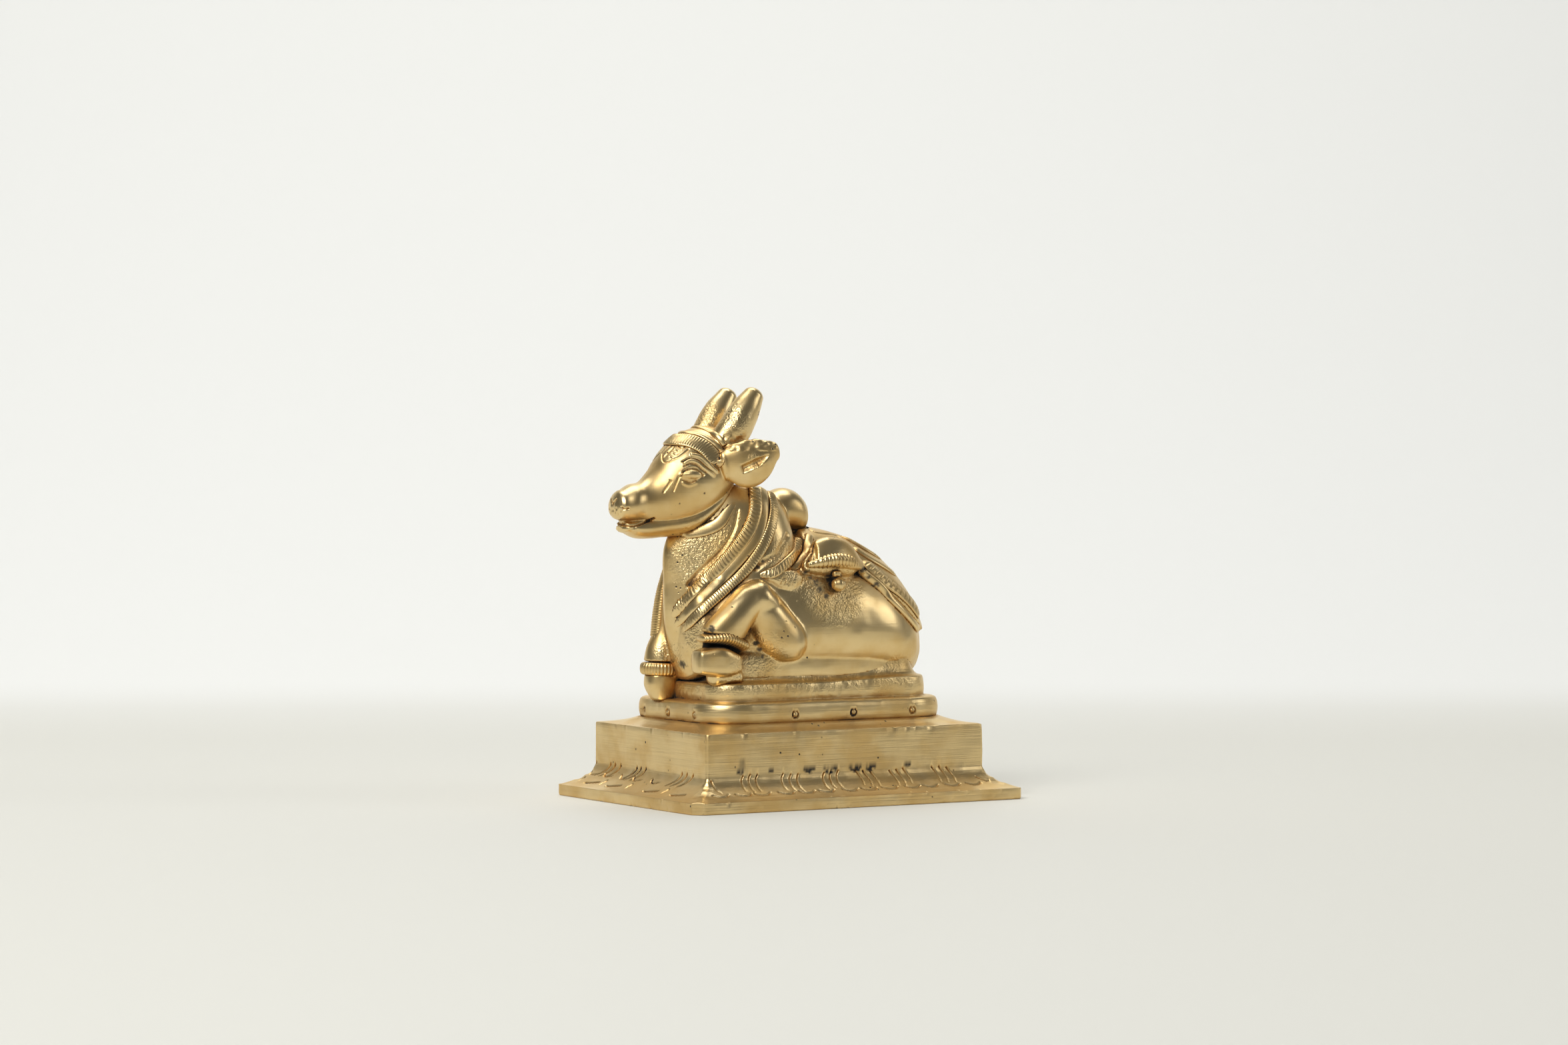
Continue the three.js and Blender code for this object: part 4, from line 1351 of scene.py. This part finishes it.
        over = [
            Band(rope, 8, 2.3, 0.62, 0.65, 0.2, -0.95, 0.4, 0.5, spacing=0.12, **collar),
            Band(plain, 8, 1.9, 0.46, **collar),
            Band(fine, 8, 1.8, 0.5, 0.47, 0.15, slant=0.5, spacing=0.1, **collar),
        ]
        throat = Band(fold, 5, 2.1, 0.34, fade=(6, 5), sided=True)
        brow = Band(brow_band, 5, 2.7, 0.4, 0.42, 0.13, -0.85, 0.85, **brow_hatch)
        sides = [
            Band(festoon, 10, 1.9, 0.6, 0.7, 0.22, -0.8, 0.4, 0.4, fade=(1.5, 2), sided=True),
            Band(garland, 10, 1.5, 0.4, fade=(1.5, 2), sided=True),
            Band(rim, 10.8, 1.6, 0.6, fade=(1.5, 0.8), sided=True),
            Band(dashes, 9, 2.7, 0.5, 1.05, 0.2, -0.6, 0.6, fade=(2, 1.2), sided=True, **ticks),
            Band(inner, 8, 1.4, 0.34, fade=(1, 2.5), sided=True),
            Band(outer, 6.5, 1.1, 0.3, fade=(2, 2.5), sided=True),
        ]
        return [*over, throat, brow, *[Band(cord, 4.5, 0.95, 0.28) for cord in cords], *sides]

    def anklets(self) -> list[Form]:
        """The hatched anklet of the folded foreleg and the hatched rims of the flaps."""
        anklet = Form([
            (-22.9, 8.2, -22.7, 6.9, 1.8, -10.4), (-19.4, 8.8, -19.2, 6.4, 3.3, -10.7),
            (-15.2, 7.3, -15.4, 5.3, 2.2, -10.7),
        ], (0.5, 0.5), 2.0, 0.52, 0.3)
        rim = Form([
            (-2.8, 19.8, -2.7, 18.8, 0.5, -11.2), (0, 20.9, 0, 18.8, 1.0, -11.7),
            (2.4, 21.2, 2.5, 18.9, 1.15, -11.9), (5, 20.8, 5, 18.6, 1.0, -11.7),
            (7.2, 19.4, 7.1, 18.3, 0.5, -11.1),
        ], (0.3, 0.3), 2.0, 0.68, 0.28)
        strip = Form([
            (-21.5, 18.4, -19.8, 17.8, 0.9, 4.8), (-22.5, 14.8, -20.2, 14.4, 1.3, 4.9),
            (-23.2, 11, -20.6, 11, 1.5, 4.9), (-23.6, 7.4, -20.9, 7.4, 1.5, 4.9),
        ], (0.5, 0.3), 2.8, 0.42, 0.09)
        ball = Form([
            (1.6, 16.8, 1.6, 15.2, 0.8, -12.1), (2.45, 17.2, 2.45, 14.8, 1.2, -12.1),
            (3.3, 16.8, 3.3, 15.2, 0.8, -12.1),
        ], (0.35, 0.35))
        boss = Form([(x, 18.3, x, 17.2, 0.6, -11.7) for x in (1.9, 2.7)], (0.4, 0.4))
        return [anklet, strip, *rim.both(), *ball.both(), *boss.both()]

    def ring_anklet(self) -> Piece:
        """The hatched ring round the right foreleg."""
        turn = np.linspace(0, 2 * math.pi, 190)[:-1]
        out = np.stack([np.cos(turn), np.sin(turn), 0 * turn], axis=1)
        centre = np.array([-21.85, 4.6, 1.85 + self.base])
        points = centre + out * [3.1, 2.7, 0] + np.stack([0 * turn, 0 * turn, -0.12 * out[:, 0]], 1)
        band = Band([], 0, 2.1, 0.75, 0.5, 0.16, -0.9, 0.9, closed=True, spacing=0.12)
        return band.along("ring_anklet", points, out)


# ---- painted shade and weathering in crevices


@dataclass
class ShadeAndWeathering:
    """Finds how enclosed each vertex is, where grime gathers and polish doesn't reach; the finish
    darkens these crevices as tarnish and grime and as painted shade.
    """

    reach: float = 5.0
    rays: int = 14
    lift: float = 0.06

    def directions(self) -> Array:
        """Even directions over a half sphere about +Z."""
        index = np.arange(self.rays) + 0.5
        high = 1 - 0.92 * index / self.rays
        turn = index * math.pi * (1 + math.sqrt(5))
        flat = np.sqrt(1 - high**2)
        return np.stack([flat * np.cos(turn), flat * np.sin(turn), high], axis=1)

    def apply(self, pieces: Sequence[Piece]) -> None:
        """Stores how enclosed each vertex is, as the mask "crevice".

        Args:
            pieces: every piece of the figure, as each one hides parts of the others.
        """
        tree = tree_of(pieces)
        for piece in pieces:
            points, up = coordinates(piece), normals(piece)
            side = unit(np.cross(up, np.where(np.abs(up[:, :1]) < 0.8, [[1, 0, 0]], [[0, 1, 0]])))
            other = np.cross(up, side)
            hidden = np.zeros(len(points))
            starts = points + up * self.lift
            for x, y, z in self.directions():
                ways = side * x + other * y + up * z
                for i in range(len(points)):
                    hit = tree.ray_cast(Vector(starts[i]), Vector(ways[i]), self.reach)
                    if hit[3] is not None:
                        hidden[i] += 1 - 0.5 * hit[3] / self.reach
            # How enclosed each vertex is: it darkens crevices as painted shade as well as tarnish
            # and grime.
            set_mask(piece, "crevice", hidden / self.rays)


# ---- finishes


class Wiring:
    """A shader's node tree, with short ways to add nodes that are already wired."""

    def __init__(self, tree: bpy.types.NodeTree) -> None:
        """Starts wiring a tree."""
        self.tree = tree

    def feed(self, socket: Socket, value: object) -> None:
        """Links a socket to an input, or sets the input's own number or colour."""
        if isinstance(value, Socket):
            self.tree.links.new(value, socket)
        else:
            socket.default_value = value

    def node(self, kind: str, inputs: dict[str, object], **settings: object) -> bpy.types.Node:
        """Adds a node with these inputs and settings.

        Args:
            kind: the node's type, without its first words.
            inputs: a socket, number or colour for each input's name.
            settings: its properties by name.

        Returns:
            The node.
        """
        made = self.tree.nodes.new("ShaderNode" + kind)
        for key, value in settings.items():
            setattr(made, key, value)
        for label, value in inputs.items():
            self.feed(made.inputs[label], value)
        return made

    def math(self, operation: str, first: object, second: object) -> Socket:
        """A Math node on two numbers or sockets.

        Args:
            operation: what it does.
            first: its first input.
            second: its second input.

        Returns:
            Its output.
        """
        made = self.node("Math", {}, operation=operation)
        self.feed(made.inputs[0], first)
        self.feed(made.inputs[1], second)
        return made.outputs[0]

    def add(self, first: object, *others: object) -> Socket:
        """The sum of numbers or sockets."""
        for other in others:
            first = self.math("ADD", first, other)
        return first

    def less(self, first: object, second: object) -> Socket:
        """The first less the second."""
        return self.math("SUBTRACT", first, second)

    def times(self, first: object, second: object) -> Socket:
        """The product of two numbers or sockets."""
        return self.math("MULTIPLY", first, second)

    def spread(self, value: Socket, low: float, high: float) -> Socket:
        """Maps low to high onto 0 to 1, smoothly."""
        inputs = {"From Min": low, "From Max": high, "Value": value}
        return self.node("MapRange", inputs, interpolation_type="SMOOTHSTEP").outputs["Result"]

    def noise(self, vector: Socket, scale: float, detail: float, along: float = 1.0) -> Socket:
        """A noise texture, drawn out along X and Y where along is below one.

        Args:
            vector: where it is read.
            scale: how fine it is.
            detail: its finer layers.
            along: its scale along X and Y.

        Returns:
            Its value.
        """
        turned = self.node("Mapping", {"Scale": (along, along, 1), "Vector": vector})
        inputs = {"Detail": detail, "Scale": scale, "Vector": turned.outputs[0]}
        return self.node("TexNoise", inputs).outputs["Fac"]

    def mix(self, share: Socket, first: object, second: object) -> Socket:
        """Mixes two colours by a mask.

        Args:
            share: the mask, 0 for the first colour and 1 for the second.
            first: a colour or a socket.
            second: a colour or a socket.

        Returns:
            The mixed colour.
        """
        made = self.node("Mix", {"Factor": share}, data_type="RGBA")
        for label, value in (("A", first), ("B", second)):
            socket = next(s for s in made.inputs if s.name == label and s.type == "RGBA")
            self.feed(socket, value if isinstance(value, Socket) else (*value, 1))
        return next(s for s in made.outputs if s.type == "RGBA")

    def group(self, tree: bpy.types.NodeTree, **inputs: object) -> bpy.types.Node:
        """Places a shared group with these inputs."""
        return self.node("Group", {k.title(): v for k, v in inputs.items()}, node_tree=tree)


class Groups:
    """Shader node groups that the finishes share, each built once."""

    @staticmethod
    def begin(name: str, *inputs: str) -> tuple[Wiring, list[Socket]]:
        """Makes an empty group.

        Args:
            name: the group's name.
            inputs: the names of its number inputs. A vector input comes before them.

        Returns:
            The tree to wire and its input sockets.
        """
        tree = bpy.data.node_groups.new(name, "ShaderNodeTree")
        tree.interface.new_socket(name="Vector", in_out="INPUT", socket_type="NodeSocketVector")
        for label in inputs:
            tree.interface.new_socket(name=label, in_out="INPUT", socket_type="NodeSocketFloat")
        given = tree.nodes.new("NodeGroupInput")
        return Wiring(tree), list(given.outputs)[: 1 + len(inputs)]

    @staticmethod
    def end(wiring: Wiring, **outputs: Socket) -> bpy.types.NodeTree:
        """Gives a group these outputs and returns its tree.

        Args:
            wiring: the group's tree.
            outputs: the socket for each output, by its name in small letters.

        Returns:
            The tree.
        """
        tree, named = wiring.tree, {label.title(): made for label, made in outputs.items()}
        for label in named:
            tree.interface.new_socket(name=label, in_out="OUTPUT", socket_type="NodeSocketFloat")
        result = tree.nodes.new("NodeGroupOutput")
        for label, made in named.items():
            tree.links.new(made, result.inputs[label])
        return tree

    def __init__(self) -> None:
        """Builds the groups."""
        self.cast_skin = self.build_cast_skin()
        self.tarnish = self.build_tarnish()
        self.file_marks = self.build_file_marks()

    def build_cast_skin(self) -> bpy.types.NodeTree:
        """Casting grain, scattered pits and dirt specks."""
        wiring, (vector, rough, grain) = self.begin("cast_skin", "Rough", "Grain")
        fine = wiring.times(wiring.noise(vector, 3000, 2), 2.2)
        coarse = wiring.times(wiring.noise(vector, 1300, 3), 2.0)
        cells = wiring.node("TexVoronoi", {"Scale": 850, "Vector": vector}).outputs["Distance"]
        spot = wiring.less(1.0, wiring.spread(cells, 0.08, 0.22))
        pits = wiring.times(spot, wiring.spread(wiring.noise(vector, 260, 2), 0.585, 0.65))
        surface = wiring.times(wiring.times(wiring.add(fine, coarse), rough), grain)
        sheen = wiring.times(wiring.noise(vector, 420, 4), 0.16)
        height = wiring.less(wiring.add(surface, sheen), pits)
        return self.end(wiring, height=height, pits=pits)

    def build_tarnish(self) -> bpy.types.NodeTree:
        """Where brown tarnish and black grime gather, and painted shade darkens the crevices with
        them.
        """
        wiring, (vector, crevice) = self.begin("tarnish", "Crevice")
        cloud = wiring.less(wiring.noise(vector, 210, 5), 0.5)
        patch = wiring.less(wiring.noise(vector, 90, 3), 0.5)
        # Brown in enclosed places and in noise patches: tarnish, and painted shade in the crevices.
        stained = wiring.add(crevice, wiring.times(cloud, 0.35))
        # Near black in the most enclosed places and in patches: grime, and painted shade in deep
        # crevices.
        black = wiring.add(crevice, wiring.times(patch, 0.9), wiring.times(cloud, 0.4))
        tarnish, grime = wiring.spread(stained, 0.22, 0.6), wiring.spread(black, 0.5, 0.72)
        return self.end(wiring, tarnish=tarnish, grime=grime)

    def build_file_marks(self) -> bpy.types.NodeTree:
        """Long level scratches left by a file, with a few deeper ones."""
        wiring, (vector,) = self.begin("file_marks")
        fine = wiring.noise(vector, 5200, 2, 0.02)
        broad = wiring.noise(vector, 1700, 3, 0.03)
        return self.end(wiring, height=wiring.add(fine, wiring.times(broad, 1.4)))


@dataclass(frozen=True)
class BrassFinish:
    """Old brass, worn bright where hands and cloths reach it, its crevices darkened by tarnish and
    grime and by painted shade.
    """

    name: str
    roughness: float = 0.3
    filed: float = 0.0
    grain: float = 1.0
    bright: Colour = (0.82, 0.62, 0.31)
    warm: Colour = (0.74, 0.51, 0.21)
    # The brown of tarnish, also used as painted shade in crevices.
    stain_and_shade: Colour = (0.46, 0.23, 0.06)
    # Near black grime, also used as painted shade in deep crevices.
    grime: Colour = (0.02, 0.018, 0.015)
    bump_height: float = 0.00006

    def material(self, groups: Groups) -> bpy.types.Material:
        """Builds the material.

        Args:
            groups: the shared groups that it uses.

        Returns:
            The material.
        """
        made = bpy.data.materials.new(self.name)
        made.use_nodes = True
        wiring = Wiring(made.node_tree)
        where = wiring.node("TexCoord", {}).outputs["Object"]
        crevice, rough, chased, ink = (
            wiring.node("Attribute", {}, attribute_name=label).outputs["Fac"]
            for label in ("crevice", "rough", "chased", "ink")
        )
        skin = wiring.group(groups.cast_skin, grain=self.grain, vector=where, rough=rough)
        # Crevices and chased cuts are darkened: tarnish and grime, and painted shade.
        enclosed = wiring.add(crevice, wiring.times(chased, 0.2))
        stains_and_shade = wiring.group(groups.tarnish, vector=where, crevice=enclosed)
        tarnish = stains_and_shade.outputs["Tarnish"]
        cloud = wiring.spread(wiring.noise(where, 130, 4), 0.38, 0.66)
        dirt_and_shade = wiring.math("MAXIMUM", stains_and_shade.outputs["Grime"], skin.outputs["Pits"])
        dirt_and_shade = wiring.math("MAXIMUM", dirt_and_shade, ink)
        colour = wiring.mix(cloud, self.bright, self.warm)
        colour = wiring.mix(tarnish, colour, self.stain_and_shade)
        wear, dull = wiring.times(cloud, 0.1), wiring.times(tarnish, 0.22)
        height = skin.outputs["Height"]
        if self.filed:
            marks = wiring.group(groups.file_marks, vector=where)
            height = wiring.add(height, wiring.times(marks.outputs["Height"], self.filed))
        bump = {"Strength": 1.0, "Distance": self.bump_height, "Height": height}
        surface = {
            # Base colour darkened by grime, pits and ink, and by painted shade in deep crevices.
            "Base Color": wiring.mix(dirt_and_shade, colour, self.grime),
            "Metallic": wiring.less(1.0, wiring.times(dirt_and_shade, 0.85)),
            "Roughness": wiring.add(wear, dull, self.roughness, wiring.times(dirt_and_shade, 0.3)),
            "Normal": wiring.node("Bump", bump).outputs["Normal"],
        }
        for label, socket in surface.items():
            wiring.feed(made.node_tree.nodes["Principled BSDF"].inputs[label], socket)
        return made


# ---- the studio


@dataclass
class Studio:
    """A pale sweep of paper, soft lights and the camera, in metres."""

    pitch: float = 1.25
    distance: float = 0.734963
    shift_right: float = -0.00075
    shift_up: float = 0.0463
    lens: float = 100.0
    sensor: float = 36.0
    aim: Place = (0, 0, 0.03)
    half_width: float = 2.2
    flat: float = 0.12
    sweep: float = 0.5
    # Painted shade: the floor of the one paper sweep is coloured darker than its wall.
    shaded_floor_colour: Colour = (0.78, 0.77, 0.7)
    wall_colour: Colour = (0.93, 0.93, 0.89)

    def axes(self) -> tuple[Vector, Vector, Vector]:
        """The camera's right, up and forward."""
        turn, tip = math.radians(VIEW_AZIMUTH), math.radians(self.pitch)
        forward = Vector(
            (math.sin(turn) * math.cos(tip), math.cos(turn) * math.cos(tip), -math.sin(tip))
        )
        right = Vector((math.cos(turn), -math.sin(turn), 0))
        return right, right.cross(forward), forward

    def camera(self) -> None:
        """Sets the camera where the photograph was taken from."""
        right, up, forward = self.axes()
        place = -forward * self.distance + right * self.shift_right + up * self.shift_up
        data = bpy.data.cameras.new("camera")
        data.lens, data.sensor_width = self.lens, self.sensor
        data.clip_start = 0.01
        camera = bpy.data.objects.new("camera", data)
        bpy.context.scene.collection.objects.link(camera)
        turn = Matrix((right, up, -forward)).transposed().to_4x4()
        camera.matrix_world = Matrix.Translation(place) @ turn
        bpy.context.scene.camera = camera

    def paper(self) -> Piece:
        """The floor, which sweeps up behind the object, its flat part coloured darker than its wall
        as painted shade.
        """
        right, _, forward = self.axes()
        back = Vector((forward.x, forward.y, 0)).normalized()
        profile = [(-1.6, 0), (0, 0), (self.flat, 0)]
        for step in range(1, 13):
            turn = step / 12 * math.radians(80)
            out, high = math.sin(turn), 1 - math.cos(turn)
            profile.append((self.flat + self.sweep * out, self.sweep * high))
        profile.append((0.75, 1.6))
        rows = []
        for out, high in profile:
            middle = back * out / MM + Vector((0, 0, high / MM))
            ends = (-self.half_width, 0, self.half_width)
            rows.append([tuple(middle + right * across / MM) for across in ends])
        floor = grid_of("paper_sweep", np.array(rows))
        bpy.ops.object.shade_smooth()
        made = bpy.data.materials.new("paper")
        made.use_nodes = True
        wiring = Wiring(made.node_tree)
        shader = made.node_tree.nodes["Principled BSDF"]
        shader.inputs["Roughness"].default_value = 0.75
        where = wiring.node("TexCoord", {}).outputs["Object"]
        high = wiring.node("SeparateXYZ", {"Vector": where}).outputs["Z"]
        climb = wiring.spread(high, 0.0, 0.008)
        # Painted shade: darker colour on the floor, paler up the wall.
        wiring.feed(
            shader.inputs["Base Color"], wiring.mix(climb, self.shaded_floor_colour, self.wall_colour)
        )
        floor.data.materials.append(made)
        return floor

    def light(self, name: str, place: Place, size: tuple[float, float], power: float) -> None:
        """A soft box that faces the figure.

        Args:
            name: the lamp's name.
            place: where it hangs.
            size: its width and height.
            power: its power in watts.
        """
        data = bpy.data.lights.new(name, "AREA")
        data.shape = "RECTANGLE"
        data.size, data.size_y = size
        data.energy = power
        lamp = bpy.data.objects.new(name, data)
        bpy.context.scene.collection.objects.link(lamp)
        lamp.location = place
        aim = Vector(self.aim) - Vector(place)
        lamp.rotation_euler = aim.to_track_quat("-Z", "Y").to_euler()

    def lights(self) -> None:
        """Lights the scene softly from both sides and above."""
        self.light("key", (-0.7, -0.35, 0.7), (0.55, 0.45), 6)
        self.light("fill", (0.75, -0.6, 0.45), (0.35, 0.5), 1.2)
        self.light("top", (0.05, 0.25, 0.95), (0.8, 0.5), 4.5)
        world = bpy.data.worlds.new("room")
        world.use_nodes = True
        room = world.node_tree.nodes["Background"]
        room.inputs["Color"].default_value = (0.96, 0.98, 1, 1)
        room.inputs["Strength"].default_value = 0.1
        bpy.context.scene.world = world
        bpy.context.scene.view_settings.view_transform = "Standard"


# ---- the figure, put together


def triangles(piece: Piece) -> int:
    """How many triangles a piece has."""
    return sum(len(p.vertices) - 2 for p in piece.data.polygons)


def thin_out(piece: Piece) -> None:
    """Merges faces where a piece has more triangles than it may."""
    count = triangles(piece)
    if count > MOST_TRIANGLES:
        finish_with(piece, "DECIMATE", ratio=MOST_TRIANGLES / count)
    pick(piece)
    bpy.ops.object.shade_smooth()


def keep_inside(piece: Piece, box: Sequence[Sequence[float]], margin: float = 0.003) -> None:
    """Holds a piece's outermost points inside the solid's box."""
    low, high = np.array(box, float) / MM
    move_to(piece, np.clip(coordinates(piece), low + margin, high - margin))


def dress(piece: Piece, material: bpy.types.Material) -> None:
    """Gives a piece its material and its body, hides the imported solid and logs its triangles.

    Args:
        piece: a finished piece.
        material: its brass.
    """
    piece.data.materials.clear()
    piece.data.materials.append(material)
    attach(piece, "root")
    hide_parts("nandi_bull")
    log.info("%s has %d triangles", piece.name, triangles(piece))


def main() -> None:
    """Builds the figure and the studio round it."""
    logging.basicConfig(level=logging.INFO, format="%(name)s: %(message)s")
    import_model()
    solid_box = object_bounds()

    studio = Studio()
    studio.camera()
    studio.lights()
    studio.paper()

    plinth = Plinth()
    stepped = plinth.build()
    bull = Bull(base=plinth.seat_top)
    figure = [bull.build_body(), bull.build_head()]
    figure.append(bull.build_trimmings(Ground(bull.base, tree_of(figure))))
    for piece in figure:
        thin_out(piece)
        keep_inside(piece, solid_box)
    ShadeAndWeathering().apply([*stepped, *figure])

    groups = Groups()
    worn = BrassFinish("worn_brass", filed=0.12).material(groups)
    filed = BrassFinish("filed_brass", roughness=0.34, filed=0.5, grain=0.7).material(groups)
    for piece in stepped:
        dress(piece, filed)
    for piece in figure:
        dress(piece, worn)


if __name__ == "__main__":
    main()
